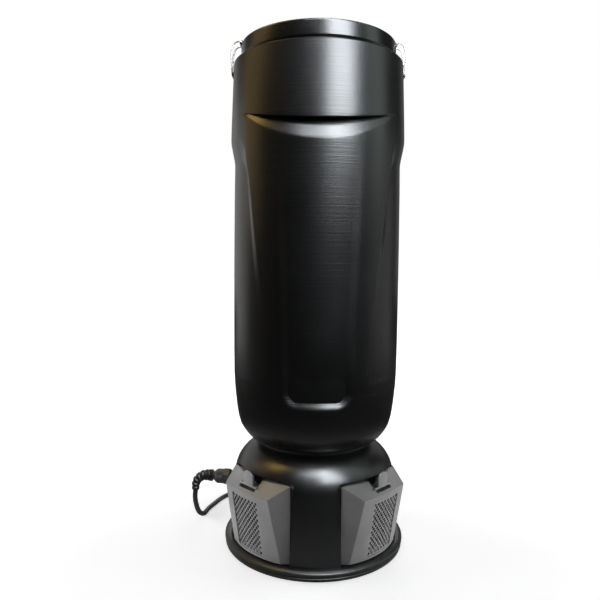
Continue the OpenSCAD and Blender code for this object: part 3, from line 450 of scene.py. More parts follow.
# slot: name, colour, roughness, metal, tone, patch, change of roughness, grain, relief, lines, sheen, coat
FINISH = {slot: new_finish(*row) for slot, row in {
    "tank_shell": ("Tank plastic", (0.0024, 0.0023, 0.0023), 0.33, 0, 0.15, 9, 0.02, 1500, 0.012, 0.14),
    "housing_shell": ("Housing plastic", grey(0.007), 0.33, 0, 0.2, 20, 0.04, 1500, 0.02, 0.015),
    "lid_shell": ("Lid plastic", (0.0042, 0.0040, 0.0039), 0.27, 0, 0.15, 12, 0.03, 1500, 0.012, 0.14),
    "cover_shell": ("Cover plastic", grey(0.26), 0.36, 0, 0.1, 24, 0.04, 1150, 0.07),
    "grille_plate": ("Grille plastic", grey(0.26), 0.36, 0, 0.1, 30, 0.06, 1150, 0.05),
    "inner_plastic": ("Inner plastic", grey(0.06), 0.42, 0, 0.12, 30, 0.06, 1400, 0.03),
    "black_rubber": ("Black rubber", grey(0.012), 0.4, 0, 0.25, 40, 0.08, 1700, 0.03),
    "cable_sheath": ("Cable sheath", grey(0.028), 0.42, 0, 0.2, 60, 0.06, 1800, 0.03),
    "steel": ("Zinc-plated steel", (0.60, 0.60, 0.58), 0.3, 1, 0.1, 90, 0.06, 2500, 0.008),
    "wire": ("Spring wire", grey(0.38), 0.3, 1, 0.08, 120, 0.06, 2500, 0.004),
    "bearing_steel": ("Bearing steel", grey(0.7), 0.14, 1, 0.05, 90, 0.06, 2500, 0.004, 0.01),
    "aluminium_sheet": ("Pressed aluminium", (0.72, 0.72, 0.73), 0.3, 1, 0.06, 60, 0.06, 2200, 0.01, 0.015),
    "cast_metal": ("Cast aluminium", grey(0.52), 0.5, 1, 0.12, 70, 0.06, 1300, 0.08),
    "iron_stack": ("Laminated iron", (0.30, 0.29, 0.28), 0.5, 1, 0.15, 80, 0.06, 2200, 0.01, 0.09),
    "copper_wire": ("Enamelled copper", (0.60, 0.28, 0.12), 0.25, 1, 0.2, 120, 0.06, 1500, 0.02, 0, 0, 0.3),
    "brass_part": ("Brass", (0.72, 0.56, 0.26), 0.26, 1, 0.1, 90, 0.06, 2200, 0.008),
    "carbon": ("Carbon", grey(0.045), 0.55, 0, 0.2, 150, 0.06, 2600, 0.02),
    "filter_paper": ("Filter paper", (0.72, 0.60, 0.42), 0.85, 0, 0.08, 45, 0.06, 1300, 0.09, 0, 0.1),
    "bag_card": ("Bag card", (0.52, 0.40, 0.24), 0.8, 0, 0.1, 80, 0.06, 1100, 0.06),
    "filter_cloth": ("Filter cloth", (0.20, 0.205, 0.22), 0.9, 0, 0.15, 60, 0.06, 1600, 0.12, 0, 0.3),
    "foam": ("Grey foam", (0.17, 0.175, 0.185), 0.9, 0, 0.3, 900, 0.06, 950, 0.5),
    "exhaust_foam": ("Exhaust felt", grey(0.012), 0.9, 0, 0.25, 800, 0.06, 1000, 0.4),
    "terminal_plastic": ("Terminal plastic", (0.75, 0.73, 0.66), 0.35, 0, 0.05, 30, 0.06, 1500, 0.02),
    "rocker_red": ("Rocker plastic", (0.45, 0.03, 0.03), 0.28, 0, 0.08, 60, 0.06, 1600, 0.015),
}.items()}
for part in nodes.values():
    for socket in part.material_slots:
        socket.material = FINISH[socket.material.name.split(".")[0]]
print(len(FINISH), "finishes on", len(nodes), "CAD nodes")

# %% [markdown]
# ## The mains lead
#
# A vacuum like this one leaves the factory with a short lead that an extension cable plugs into: 7 mm
# rubber cable, about 0.35 m long. It hangs from the bent strain relief to the floor and runs round behind
# the base. The line of points is the CAD model's own, so the cable lies exactly where the solid is.

# %% Route of the lead
CABLE_R = 3.5
HANGS = (0, 0.15, -1)  # the direction in which the cable leaves the strain relief
GLAND_AT = (-100, 74)  # degrees from the front, and height
BOOT_AT = 146  # from the axis to the start of the strain relief
gland_turn = math.radians(GLAND_AT[0])
boot_start = BOOT_AT * np.array([math.sin(gland_turn), -math.cos(gland_turn), 0]) + [0, 0, GLAND_AT[1]]
boot_end = boot_start + [-25, 5.5, -22]
cable_points = np.array([
    boot_end, [-170, 32, 40], [-169, 37, 25], [-166, 45, 11], [-161, 56, 4],
    [-157, 74, 3.6], [-150, 93, 3.6], [-141, 114, 3.6], [-126, 134, 3.6], [-104, 152, 3.6],
    [-76, 164, 3.6], [-44, 170, 3.6], [-12, 172, 3.6], [16, 172, 4.5],
    [38, 172, 9], [54, 172, 12], [64, 172, 12]])
cable_line = smooth_path(cable_points, 8)
cable_line[:, 2] = np.maximum(cable_line[:, 2], CABLE_R + 0.1)

# %% Cable, strain relief and gland
def along_wall(points):
    """From the gland's own frame, whose third axis points out of the housing, to its place."""
    return at_wall(points, *GLAND_AT)


cable = piece("lead_cable", "vacuum", "cable_sheath",
              [tube(cable_line, CABLE_R, 20, first=HANGS, last=(1, 0, 0))], ["mains_cable"])

boot_points = [boot_start, boot_start + 6 * boot_start * [1, 1, 0] / BOOT_AT, boot_start + [-13, 2.4, -1],
               boot_start + [-20.5, 3.8, -6], boot_start + [-24.5, 4.7, -14], boot_end]
boot_line = smooth_path(boot_points, 18)
far_along = np.linspace(0, 1, len(boot_line))
rib = 0.5 + 0.5 * np.cos(2 * math.pi * 7.5 * far_along)
boot_radius = 8.5 - 3.3 * far_along - 1.7 * (1 - soft_step(rib * 2.2, 0.15)) * (far_along < 0.96)
piece("lead_strain_relief", "vacuum", "black_rubber",
      [tube(boot_line, boot_radius, 28, first=boot_start * [1, 1, 0], last=HANGS)],
      ["strain_relief"], crease=60)

PITCH_OF_THREAD, GRIPS, NUT_SIDES = 1.5, 24, 144
ACROSS_FLATS = 10.2  # half of it
GLAND_OUT = 108  # from the axis to the gland's own frame
thread = [(8 + 0.35 * math.cos(2 * math.pi * t / PITCH_OF_THREAD), t) for t in np.arange(-5, 11.6, 0.25)]
grip_a = np.linspace(0, 2 * math.pi, NUT_SIDES, endpoint=False)


def six_sided(profile, size, sides=96):
    """A turned part cut to a hexagon: its radius is at most size / cos(angle to the nearest flat)."""
    grid = turned(profile, sides)
    a = np.arctan2(grid[..., 0], -grid[..., 1])
    flat = size / np.cos((a % (math.pi / 3)) - math.pi / 6)
    r = np.maximum(np.hypot(grid[..., 0], grid[..., 1]), 1e-9)
    return grid * np.stack([np.minimum(flat / r, 1)] * 2 + [np.ones_like(r)], -1)


nut_grid = turned(rounded([(0, 20.8), (10, 20.8), (10, 30.2), (8, 33.2), (6.2, 33.4), (6.2, 38), (0, 38)],
                          [0, 0.8, 1.2, 0.8, 0.3, 1, 0], 4), NUT_SIDES)
nut_r = np.hypot(nut_grid[..., 0], nut_grid[..., 1])
gripped = (nut_r > 9) & (nut_grid[..., 2] < 30)
grips = np.where(gripped, 0.35 * np.cos(GRIPS * grip_a)[None, :], 0) / np.maximum(nut_r, 1)
nut_grid = nut_grid * np.stack([1 + grips - 0.03] * 2 + [np.ones_like(nut_r)], -1)
body_parts = [turned([(0, -11)] + thread + [(0, 11.5)], 64), nut_grid,
              six_sided(pin_line(11.5, -10, -5.5, (1, 1)), ACROSS_FLATS),
              six_sided(pin_line(11.6, 11.5, 20.2, (1.2, 1.2), 4), ACROSS_FLATS),
              turned(pin_line(11, 1.0, 5, (0.8, 0.8), 4), 72)]
piece("gland_body", "vacuum", "black_rubber", placed(body_parts, lambda g: along_wall(g + [0, 0, GLAND_OUT])),
      ["cable_gland"], finish="inner_plastic")

plug_grid = turned(rounded([(0, 0), (4.9, 0), (5.6, 6), (9.2, 18), (11.7, 20), (11.7, 31), (9.6, 33),
                            (9.6, 35.6), (11.7, 37), (11.7, 46), (0, 46)],
                           [0, 1, 4, 3, 1.5, 1.5, 1.2, 1.2, 1.5, 1.5, 0], 5))[..., SIDEWAYS]
across = np.hypot(plug_grid[..., 1], plug_grid[..., 2])
around = np.arctan2(plug_grid[..., 2], plug_grid[..., 1])
held = (plug_grid[..., 0] > 19) & (plug_grid[..., 0] < 32) & (across > 10)
shrink = np.where(held, 1 - 0.028 * np.clip(np.cos(around * 16), 0, 1), 1)
plug_grid[..., 1:] *= shrink[..., None]
plug = piece("lead_plug", "vacuum", "black_rubber", [plug_grid + cable_points[-1]], ["mains_plug"])
print("gland, strain relief, cable and plug:", len(cable.data.polygons), "faces in the cable")

# %% [markdown]
# ## The tank
#
# The tank is one tall moulding. Under its rim is a wide collar; the collar's lower edge slopes in to a
# slightly slimmer body, except at the front, where a raised panel runs down and narrows to nothing.
# A scoop is cut in under the front of the collar, and a shallow inlay with a round foot lies below it.
#
# All of that is one grid. The radius of the wall is a function of angle and height: the recessed outline
# plus the panel's share of the step between the two outlines. Rows follow the edges of the scoop and
# columns follow the edges of the panel, so that each crease has points where it needs them.

# %% The tank's radius
LOW = ([149, 216, 232, 265, 361, 408, 476, 507, 515, 533, 640],
       [108, 108.1, 109.0, 109.4, 109.4, 109.2, 108.7, 108.1, 108.0, 108.0, 108.0])
HIGH = ([149, 216, 232, 265, 290, 507, 522, 537, 560, 590, 631],
        [108, 108.1, 109.0, 109.4, 109.4, 113.2, 113.4, 113.3, 112.6, 111.5, 110.0])
PANEL = ([290, 298, 334, 400, 466, 485, 503], [36.5, 37.5, 40, 44.8, 49.5, 51, 54])
BAND, ROUND = 2.0, 15
PANEL_TOP, MID_RADIUS = 505, 109


def tank_radius(angle, z):
    """Recessed outline + share x (raised outline - recessed outline) - inlay.

    The recessed field has a corner of radius ROUND at its top. Outside the field the wall climbs to the
    raised outline over 7.6 mm at the panel's side and over 27 mm at the collar, and in between round the
    corner. With u and v for how far a point is inside the field's side and top edge,
    share = (sqrt(max(ROUND - u, 0)^2 + max(ROUND - v, 0)^2) - ROUND) / width."""
    a = np.abs(angle)
    low, high = np.interp(z, *LOW), through(z, *HIGH)
    u = np.radians(a - np.interp(z, *PANEL) - BAND) * MID_RADIUS
    u, v = np.maximum(ROUND - u, 0), np.maximum(ROUND - (PANEL_TOP - z), 0)
    width = 7.6 + 19.4 * v**2 / (u**2 + v**2 + 1e-9)
    r = low + soft_step((np.hypot(u, v) - ROUND) / width, 0.1) * (high - low)
    x = r * np.sin(np.radians(np.minimum(a, 90)))
    return r - inlay(x, z)


def inlay(x, z):
    """How deep the inlay is: 5.2 mm at its foot and less above, down a slope 13 mm wide all round.

    Its outline is a rectangle with corners of radius 22, so the distance inside it is
    22 - hypot(max(qx, 0), max(qz, 0)) - min(max(qx, qz), 0), where q counts from the corner's centre."""
    half = 45 + 9 * np.clip((z - 234) / 290, 0, 1)
    qx, qz = x - half + 22, 225 - z
    inside = 22 - np.hypot(np.maximum(qx, 0), np.maximum(qz, 0)) - np.minimum(np.maximum(qx, qz), 0)
    share = np.clip(inside / 13, 0, 1)
    low = np.clip((295 - z) / 85, 0, 1)
    deepest = 1.8 + 3.4 * low**2 * (3 - 2 * low)
    return deepest * share**2 * (3 - 2 * share) * np.clip((525 - z) / 150, 0, 1)


# %% Rows and columns
def columns(middle):
    """Angles round the tank for each row, close together at the panel's edge, which is at middle degrees."""
    m = middle[:, None]
    parts = [(0, m - 4, 34), (m - 4, m + 4, 18), (m + 4, 100 + 0 * m, 26), (100, 180 + 0 * m, 36)]
    half = np.concatenate([a + (b - a) * (np.arange(n) / n) for a, b, n in parts] + [180 + 0 * m], axis=1)
    return np.concatenate([half, -half[:, -2:0:-1]], axis=1)


def ease(a, b, n):
    """n values from a up to, not including, b."""
    return a + (b - a) * np.arange(n) / n


foot = smooth_path([(78.6, 145.4), (83.6, 145.6), (89.4, 149.8), (94.4, 155.8), (98.8, 162.6), (102.0, 171),
                    (104.4, 182.5), (106.6, 200), (108.1, 216)], 5)
foot = np.vstack([[(58, 149), (75.8, 149), (77.4, 145.8)], foot])
fine_z = np.linspace(186, 216, 24)
fine_foot = np.stack([np.interp(fine_z, foot[:, 1], foot[:, 0]), fine_z], -1)
foot = np.vstack([foot[foot[:, 1] < 185.4], fine_foot])
foot[:, 0] += 0.4 * np.exp(-((foot[:, 1] - 165) / 0.9) ** 2)
heights = np.concatenate([ease(216, 250, 20), ease(250, 296, 14), ease(296, 500, 34), [500]])
scoop_rows, top_rows = 44, 22
angle = columns(np.concatenate([np.full(len(foot), PANEL[1][0]), np.interp(heights, *PANEL),
                                np.full(scoop_rows + top_rows, PANEL[1][-1])]))
wall_z, wall_r = np.zeros_like(angle), np.zeros_like(angle)
n = len(foot)
wall_z[:n] = foot[:, 1:]
foot_x = foot[:, :1] * np.sin(np.radians(np.minimum(np.abs(angle[:n]), 90)))
wall_r[:n] = foot[:, :1] - inlay(foot_x, wall_z[:n])
m = n + len(heights)
wall_z[n:m] = heights[:, None]
wall_r[n:m] = tank_radius(angle[n:m], wall_z[n:m])

# %% The scoop under the collar
a = angle[m:m + scoop_rows][0]
turn = np.radians(np.clip(np.abs(a), 0, 55))
ledge = 544 + 35.35 * (1 - np.cos(turn))  # the collar's lower edge, lowest in the middle
# how deep the scoop is: from radius 113.5 in to a cylinder of radius 133 whose axis is 30 mm behind
deep = np.maximum(113.5 - (-30 * np.cos(turn) + np.sqrt(133**2 - (30 * np.sin(turn)) ** 2)), 0)
live = np.clip(deep / 2.5, 0, 1)
floor_z = ledge - np.maximum(2.19 * deep, 4)
inner_z = ledge + 0.31 * deep - 1.6 * (1 - live)
edge_r, corner_r = 1.3, np.minimum(2.2, 0.3 * (inner_z - floor_z))


def bent(p0, p1, p2, n):
    """n points on the curve (1-t)^2 p0 + 2t(1-t) p1 + t^2 p2, for every column at once."""
    t = np.linspace(0, 1, n)[:, None, None]
    return (1 - t) ** 2 * p0 + 2 * t * (1 - t) * p1 + t**2 * p2


def at(inward, z):
    """Pairs (how far inside the wall, height) for every column."""
    return np.stack([inward + 0 * z, z + 0 * inward], -1)


slope = deep / (inner_z - floor_z)
none = 0 * deep
low_rows = np.concatenate([at(none, 500 + (floor_z - 3 - 500) * f)[None] for f in ease(0.06, 1, 14)]
                          + [at(none, floor_z - 3 + 3 * f)[None] for f in ease(0, 1, 3)])
floor_rows = np.stack([at(deep * f, floor_z + (inner_z - corner_r - floor_z) * f) for f in ease(0, 1, 9)])
floor_rows[..., 0] = np.maximum(slope * (floor_rows[..., 1] - floor_z), 0)
ledge_in = inner_z - (inner_z - ledge) * np.minimum(corner_r / np.maximum(deep, 1), 1)
inner_corner = bent(at(np.maximum(deep - slope * corner_r, 0), inner_z - corner_r), at(deep, inner_z),
                    at(np.maximum(deep - corner_r, 0), ledge_in), 6)
across_ledge = np.stack([at(deep * f, ledge + (inner_z - ledge) * f) for f in (0.55, 0.3)])
outer_corner = bent(at(np.minimum(edge_r, 0.3 * deep), ledge + 0.1), at(none, ledge + 0.05),
                    at(none, ledge + edge_r), 6)
after = np.stack([at(none, ledge + edge_r + (576 - ledge - edge_r) * f) for f in (0.12, 0.4, 0.7, 1)])
scoop = np.concatenate([low_rows, floor_rows, inner_corner, across_ledge, outer_corner, after])
wall_z[m:m + scoop_rows] = scoop[..., 1]
outline = tank_radius(angle[m:m + scoop_rows], scoop[..., 1])
sharp = slope * (scoop[..., 1] - floor_z)
soft = 0.35 * live
blend_in = np.where(scoop[..., 1] < floor_z + 4, 0.5 * (sharp + np.sqrt(sharp**2 + soft**2)), scoop[..., 0])
of_floor = np.arange(scoop_rows)[:, None] < len(low_rows) + len(floor_rows)
wall_r[m:m + scoop_rows] = outline - np.where(of_floor, blend_in, scoop[..., 0])

# %% The rim, the seat for the lid and the inside
rim_z = ease(582, 628, 12)
rim_line = rounded([(110.0, 630), (109.9, 633.4), (106.7, 633.4), (106.7, 604), (101.5, 604), (101.5, 600),
                    (107.5, 594)], [0, 1.7, 1.2, 0.8, 0.6, 0.6, 0], 1)
top = np.concatenate([np.stack([tank_radius(np.array(180.0), rim_z), rim_z], -1), rim_line[1:]])
k = m + scoop_rows
inside = [(107.7, 578), (107.7, 566), (107.5, 552), (106.6, 540), (105.8, 530), (105.2, 516), (105.1, 480),
          (105.1, 300), (105.1, 232), (103.0, 202), (100.6, 184), (97.4, 172), (93.6, 164.5), (88.5, 158),
          (83, 153.4), (78, 153), (58, 153)]
rest = np.concatenate([top, inside])
angle = np.vstack([angle[:k], np.repeat(angle[k - 1:k], len(rest), axis=0)])
wall_r = np.vstack([wall_r[:k], np.repeat(rest[:, :1], angle.shape[1], axis=1)])
wall_z = np.vstack([wall_z[:k], np.repeat(rest[:, 1:], angle.shape[1], axis=1)])
hidden = np.arange(len(wall_r)) >= k + len(top)
near_scoop = np.exp(-((wall_z - 542) / 22) ** 4) * hidden[:, None]
wall_r -= near_scoop * np.clip(deep * 0.85, 0, 9)[None]
sweep = np.radians(angle)
tank_grid = np.stack([wall_r * np.sin(sweep), -wall_r * np.cos(sweep), wall_z], -1)

# %% Bosses, catches, spigot and floor grid
BAR_GAP = 12
extras = [(tank_grid, True, True), sleeve(62, 65, 129.2, 150, 0.8, 3, 96),
          sleeve(64.5, 66.5, 152, 161, 0.5, 3, 96), pin(10, 149, 153, (0.5, 0.5))]
harness_screw_at = [(x, z) for x in (-40, 40) for z in (272, 492)]
harness_boss = pin(8, -19, -0.1, (0.5, 0.8))[..., OUTWARD] * [1, 1, -1]
extras += [harness_boss + [x, 114, z] for x, z in harness_screw_at]
for side in (-1, 1):
    extras += moved(rounded_block((6.4, 16, 3), 0.9, 3), (side * 109.7, 0, 622.9))
for bar_x in BAR_GAP * np.arange(-4, 5):
    extras += moved(rounded_block((3, 2 * math.sqrt(59**2 - bar_x**2), 4), 0.5, 2), (bar_x, 0, 151))
extras += moved(rounded_block((116, 3, 4), 0.5, 2), (0, 0, 151))
piece("tank_body", "vacuum", "tank_shell", extras, ["tank"])
panel_r = float(tank_radius(0, np.array(450.0)))
print("tank:", tank_grid.shape[:2], "points, radius at the panel", round(panel_r, 1), "mm")

# %% [markdown]
# ## The foot
#
# The vacuum stands on a fat rubber ring with a round bead at its top and a thinner band below a groove.
# It is a profile turned about the axis.

# %% Base ring
ring_profile = rounded([(112.1, 0.1), (118.6, 0.1), (120.4, 1.2), (120.6, 4.6), (118.9, 5.4), (118.9, 6.0),
                        (121.3, 7.0), (121.3, 10.6), (117.4, 12.5), (112.1, 12.5)],
                       [0.2, 1.0, 1.0, 1.0, 0.5, 0.5, 1.4, 2.4, 2.2, 0.2], 4, True)
piece("base_ring_rubber", "vacuum", "black_rubber", [(turned(ring_profile, 192), True, True)], ["base_ring"])
print("base ring", ring_profile.shape[0], "points in its profile")

# %% [markdown]
# ## The exhaust covers
#
# Each cover is a shell that hinges at its foot and stands out from the round housing. Its face is nearly
# flat at the top and follows the housing's curve at the bottom. Facets slope back at the sides, a window
# holds a perforated plate, and a notch in the top makes room for the thumb tab.
#
# One grid makes the shell. Its lines are closed loops: from the edge of the window, over the face, round
# the sharp front edge and back along the sides to the pocket. Doubled columns give the notch its upright
# walls. Solidify adds the wall and Bevel rounds every edge.

# %% The face of a cover
COVER_ANGLE = 45.5  # degrees from the front to the middle of a cover
FACE_LOW, FACE_HIGH, SHELL_TOP = 14, 97, 110.5  # heights of the face's foot and head and the shell's top
SHELL_BACK, CREASE_R = 94.5, 107.2  # how far out the shell's back edge is, and the radius of its crease
WINDOW_HALF, WINDOW_Z, WINDOW_SHIFT = 23.6, (17.4, 89), 3  # it sits 3 mm to the outer side
SIDE_HALF = 52.4  # half the width of the shell's back edge


def cover_face(x, z):
    """How far the face stands out at x across and height z: a circle of radius 112 that turns into the flat
    curve 123.6 - x^2/520 from the bottom to the top."""
    f = (z - FACE_LOW) / (FACE_HIGH - FACE_LOW)
    return (1 - f) * np.sqrt(112**2 - x**2) + f * (123.6 - x**2 / 520)


def in_cover(points, side):
    """From a cover's own frame (across, out, up) to its place on one side of the front."""
    p = np.asarray(points, float)
    a = math.radians(COVER_ANGLE * side)
    return np.stack([math.cos(a) * p[..., 0] + math.sin(a) * p[..., 1],
                     math.sin(a) * p[..., 0] - math.cos(a) * p[..., 1], p[..., 2]], -1)


def runs(stops, counts):
    """Values that go evenly from stop to stop; each stop between two runs is there twice."""
    return np.concatenate([np.linspace(a, b, c) for a, b, c in zip(stops[:-1], stops[1:], counts)])


def loop(bottom, right, top, left):
    """The four sides of a closed line, one after another."""
    return np.concatenate([bottom, right, top, left])


def cover_shell(side):
    """Loops of points round a cover, from its window to its back edge."""
    up = np.linspace(0, 1, 16)[1:-1]
    low_in, top_in = (9, 13, 9), (11, 15, 11)
    nb, nt = sum(low_in), sum(top_in)

    def upright(low, high):
        """Heights of the points round a loop between two levels."""
        rise = (high - low) * up
        return loop(np.full(nb, float(low)), low + rise, np.full(nt, float(high)), high - rise)

    w, s = WINDOW_HALF, SIDE_HALF
    window_x = loop(runs([-w, -8, 8, w], low_in), w + 0 * up, runs([w, 9, -9, -w], top_in),
                    -w + 0 * up) + WINDOW_SHIFT * side
    window_z = upright(*WINDOW_Z)
    edge_x = 45 - 5 * up
    front_x = loop(runs([-45, -12.6, 12.6, 45], low_in), edge_x, runs([40, 14.6, -14.6, -40], top_in),
                   -edge_x[::-1])
    front_z = upright(FACE_LOW, FACE_HIGH)
    face = []
    for f in (0, 0.12, 0.4, 0.7, 0.95, 1):
        x, z = window_x + f * (front_x - window_x), window_z + f * (front_z - window_z)
        face.append(np.stack([x, cover_face(x, z), z], -1))
    back_x = loop(runs([-s, -12.6, 12.6, s], low_in), s + 0 * up, runs([s, 14.6, -14.6, -s], top_in),
                  -s + 0 * up)
    back_z = upright(FACE_LOW, SHELL_TOP)
    start_u = cover_face(front_x, front_z)
    number = np.arange(len(front_x))

    def among(first, count):
        return (number >= first) & (number < first + count)

    top_start = nb + len(up)
    low_side, top_side = among(0, nb), among(top_start, nt)
    low_mid, top_mid = among(low_in[0], low_in[1]), among(top_start + top_in[0], top_in[1])
    crease = np.maximum(np.sqrt(CREASE_R**2 - back_x**2 * 0.98), 94.9)
    edge_u, foot_u = start_u - 3.2, start_u - 3.4
    stops = (edge_u, edge_u, 0.45 * edge_u + 0.55 * crease, crease, 0.5 * (crease + SHELL_BACK),
             SHELL_BACK + 0 * crease)
    back = []
    for row, share in enumerate((0.1, 0.1, 0.4, 0.7, 0.85, 1)):
        u_low = foot_u if row < 2 else foot_u + (share - 0.1) / 0.9 * (SHELL_BACK - foot_u)
        u_side = np.where(low_side, u_low, start_u + share * (SHELL_BACK - start_u))
        u = np.where(top_side, stops[row], u_side)
        f = (start_u - u) / (start_u - SHELL_BACK)
        x, z = front_x + f * (back_x - front_x), front_z + f * (back_z - front_z)
        roof = np.minimum(FACE_HIGH + (SHELL_TOP - FACE_HIGH) * (start_u - u) / (start_u - crease), SHELL_TOP)
        z = np.where(top_side, roof, z)
        if row >= 1:
            z = np.where(top_mid, 97.5, np.where(low_mid, 22.4, z))
        back.append(np.stack([x, u, z], -1))
    return np.stack(face + back)


# %% A cover's perforated plate
STEP_X, STEP_Z, HOLE_ROWS = 6.1, 3.6, 19
HALF_W, HALF_H, BORDER = 24.4, 34.2, 26.4


def perforated(side):
    """Staggered bricks 6.1 x 3.6 mm, each a loop of 12 points round its edge and 12 round its hole."""
    edge = np.array([(-2, -1), (-1, -1), (0, -1), (1, -1), (2, -1), (2, 0), (2, 1), (1, 1), (0, 1), (-1, 1),
                     (-2, 1), (-2, 0)]) * [STEP_X / 4, STEP_Z / 2]
    turn = np.arctan2(edge[:, 1], edge[:, 0])
    cell = np.stack([edge, np.stack([1.85 * np.cos(turn), 1.9 * np.sin(turn)], -1)])
    grids, open_grids = [], []
    for number, z in enumerate((np.arange(HOLE_ROWS) - 9) * STEP_Z):
        count = 8 - number % 2
        grids += [cell + [c, z] for c in (np.arange(count) - (count - 1) / 2) * STEP_X]
        if number % 2:
            half = np.stack(np.meshgrid([HALF_W - STEP_X / 2, HALF_W - STEP_X / 4, HALF_W],
                                        [z - STEP_Z / 2, z, z + STEP_Z / 2]), -1)
            open_grids += [half, half * [-1, 1]]
    rim = np.stack(np.meshgrid([HALF_W, BORDER], np.arange(-HOLE_ROWS, HOLE_ROWS + 1) * STEP_Z / 2), -1)
    across = np.concatenate([[-BORDER], np.arange(-16, 17) * STEP_X / 4, [BORDER]])
    ends = np.stack(np.meshgrid(across, [HALF_H, 36.6]), -1)
    open_grids += [rim, rim * [-1, 1], ends, ends * [1, -1]]

    def on_face(g):
        x, z = g[..., 0] + WINDOW_SHIFT * side, g[..., 1] + 53.2
        return in_cover(np.stack([x, cover_face(x, z) - 1.1, z], -1), side)

    return placed(grids + [(g, False, False) for g in open_grids], on_face)


def plate(outline, thickness, edge, steps):
    """A flat solid with a round edge: the outline goes in by edge (1 - cos k) at t/2 - edge (1 - sin k)."""
    p = np.asarray(outline, float)
    t = np.roll(p, -1, 0) - np.roll(p, 1, 0)
    normal = np.stack([t[:, 1], -t[:, 0]], -1) / np.linalg.norm(t, axis=1)[:, None]
    k = np.linspace(-90, 90, 2 * steps + 1)
    inset = edge * (1 - np.cos(np.radians(k)))
    z = np.sign(k) * (thickness / 2 - edge * (1 - np.abs(np.sin(np.radians(k)))))
    rings = p[None] - inset[:, None, None] * normal[None]
    middle = np.repeat(p.mean(0)[None], len(p), 0)[None]
    flat = np.concatenate([middle, rings, middle])
    z = np.concatenate([[z[0]], z, [z[-1]]])
    return np.concatenate([flat, np.broadcast_to(z[:, None, None], (*flat.shape[:2], 1))], -1)


# %% Both covers
HINGE = (106, 17)  # the pivot of a cover: how far out, and how high
TAB_HALF, TAB_OUT = 9.2, 116.2
tab_turn = np.radians(np.linspace(0, 180, 25))
tab_round = np.stack([TAB_HALF * np.cos(tab_turn), 112.8 + TAB_HALF * np.sin(tab_turn)], -1)
tab_foot = [(-1, 102.6), (0, 102.6), (1, 102.6), (1, 105), (1, 108.4)]
tab_line = np.concatenate([tab_foot * np.array([TAB_HALF, 1]), tab_round,
                           [(-TAB_HALF, 108.4), (-TAB_HALF, 105)]])
for side, word in ((-1, "left"), (1, "right")):
    body = f"cover_{word}"
    middle = in_cover(np.array([0, 80.0, 55.0]), side)

    def here(points):
        return in_cover(points, side)

    shell = piece(f"exhaust_shell_{word}", body, "cover_shell", [here(cover_shell(side))],
                  [f"exhaust_cover_{word}"], crease=24, core=middle)
    thicken(shell, 1.5)
    soften(shell, 1.3, 3, 24)
    mesh = piece(f"exhaust_mesh_{word}", body, "grille_plate", perforated(side), [f"exhaust_grille_{word}"],
                 crease=50, core=middle)
    thicken(mesh, 0.5)
    hinge = [pin(3, -7.6, 7.6, (0.5, 0.5), 40)[..., SIDEWAYS] + [0, *HINGE]]
    hinge += moved(rounded_block((15, 6, 3.2), 0.6, 3), (0, 108.6, 16.4))
    piece(f"exhaust_hinge_{word}", body, "cover_shell", placed(hinge, here))
    tab = [plate(tab_line, 2.4, 0.8, 4)[..., OUTWARD] + [0, TAB_OUT, 0],
           pin(1.45, -16, 16, (0.3, 0.3), 24)[..., SIDEWAYS] + [0, TAB_OUT, 103.6]]
    tab += moved(rounded_block((10, 9, 2.5), 0.6, 3), (0, 111.9, 105.75))
    piece(f"thumb_tab_{word}", f"cover_latch_{word}", "cover_shell", placed(tab, here), [f"latch_tab_{word}"])
    print(word, "cover:", len(shell.data.polygons), "faces,", len(mesh.data.polygons), "in its plate")

# %% [markdown]
# ## The motor housing
#
# The housing tapers up to a domed shoulder. Two pockets are cut in behind the exhaust covers, each with a
# flat back and a window for its filter. The skin is made of grids that share their edge points: the foot,
# strips between the pockets, loops that lead from the edge of a pocket to its window, and the dome.
# The strip at the back leaves the opening of the switch and the hole of the cable gland free. A Solidify
# modifier adds the wall and a Bevel modifier rounds each edge.

# %% The housing's outline and pockets
POCKET_W, POCKET_TOP, POCKET_R, POCKET_BACK = 54.7, 112.8, 8, 94
FOOT, SHOULDER, DOME_R, DOME_AT = 12, 94, 44, 63.5
SWITCH_ANGLE, SWITCH_Z = 150, (52, 72)
GLAND_ANGLE, GLAND_HOLE, PATCH, PATCH_Z, PATCH_R = 260, 8.2, 8.0, (59, 89), 108.6


def housing_radius(z):
    """Straight from 112 at the ring to 107.5 at the shoulder, then 63.5 + sqrt(44^2 - (z - 94)^2)."""
    z = np.asarray(z, float)
    dome = DOME_AT + np.sqrt(np.maximum(DOME_R**2 - np.maximum(z - SHOULDER, 0) ** 2, 0))
    return np.where(z < SHOULDER, 112 - 4.5 * np.maximum(z - 12.5, 0) / 81.5, dome)


def pocket_half(z):
    """Half the width of a pocket at height z; its top corners are arcs of radius POCKET_R."""
    up = np.clip(np.asarray(z, float) - (POCKET_TOP - POCKET_R), 0, POCKET_R)
    return POCKET_W - POCKET_R + np.sqrt(POCKET_R**2 - up**2)


def on_wall(r, angle, z):
    """Points at those radii, angles in degrees and heights."""
    return np.stack([r * np.sin(np.radians(angle)), -r * np.cos(np.radians(angle)), z + 0 * (r + angle)], -1)


def strip(a, b, shares, z):
    """A grid of the wall: rows at heights z, and columns from angle a to b, which may vary with z."""
    z = np.asarray(z, float)[:, None]
    a, b = a + 0 * z[:, 0], b + 0 * z[:, 0]
    return on_wall(housing_radius(z), a[:, None] + (b - a)[:, None] * shares, z), False, False


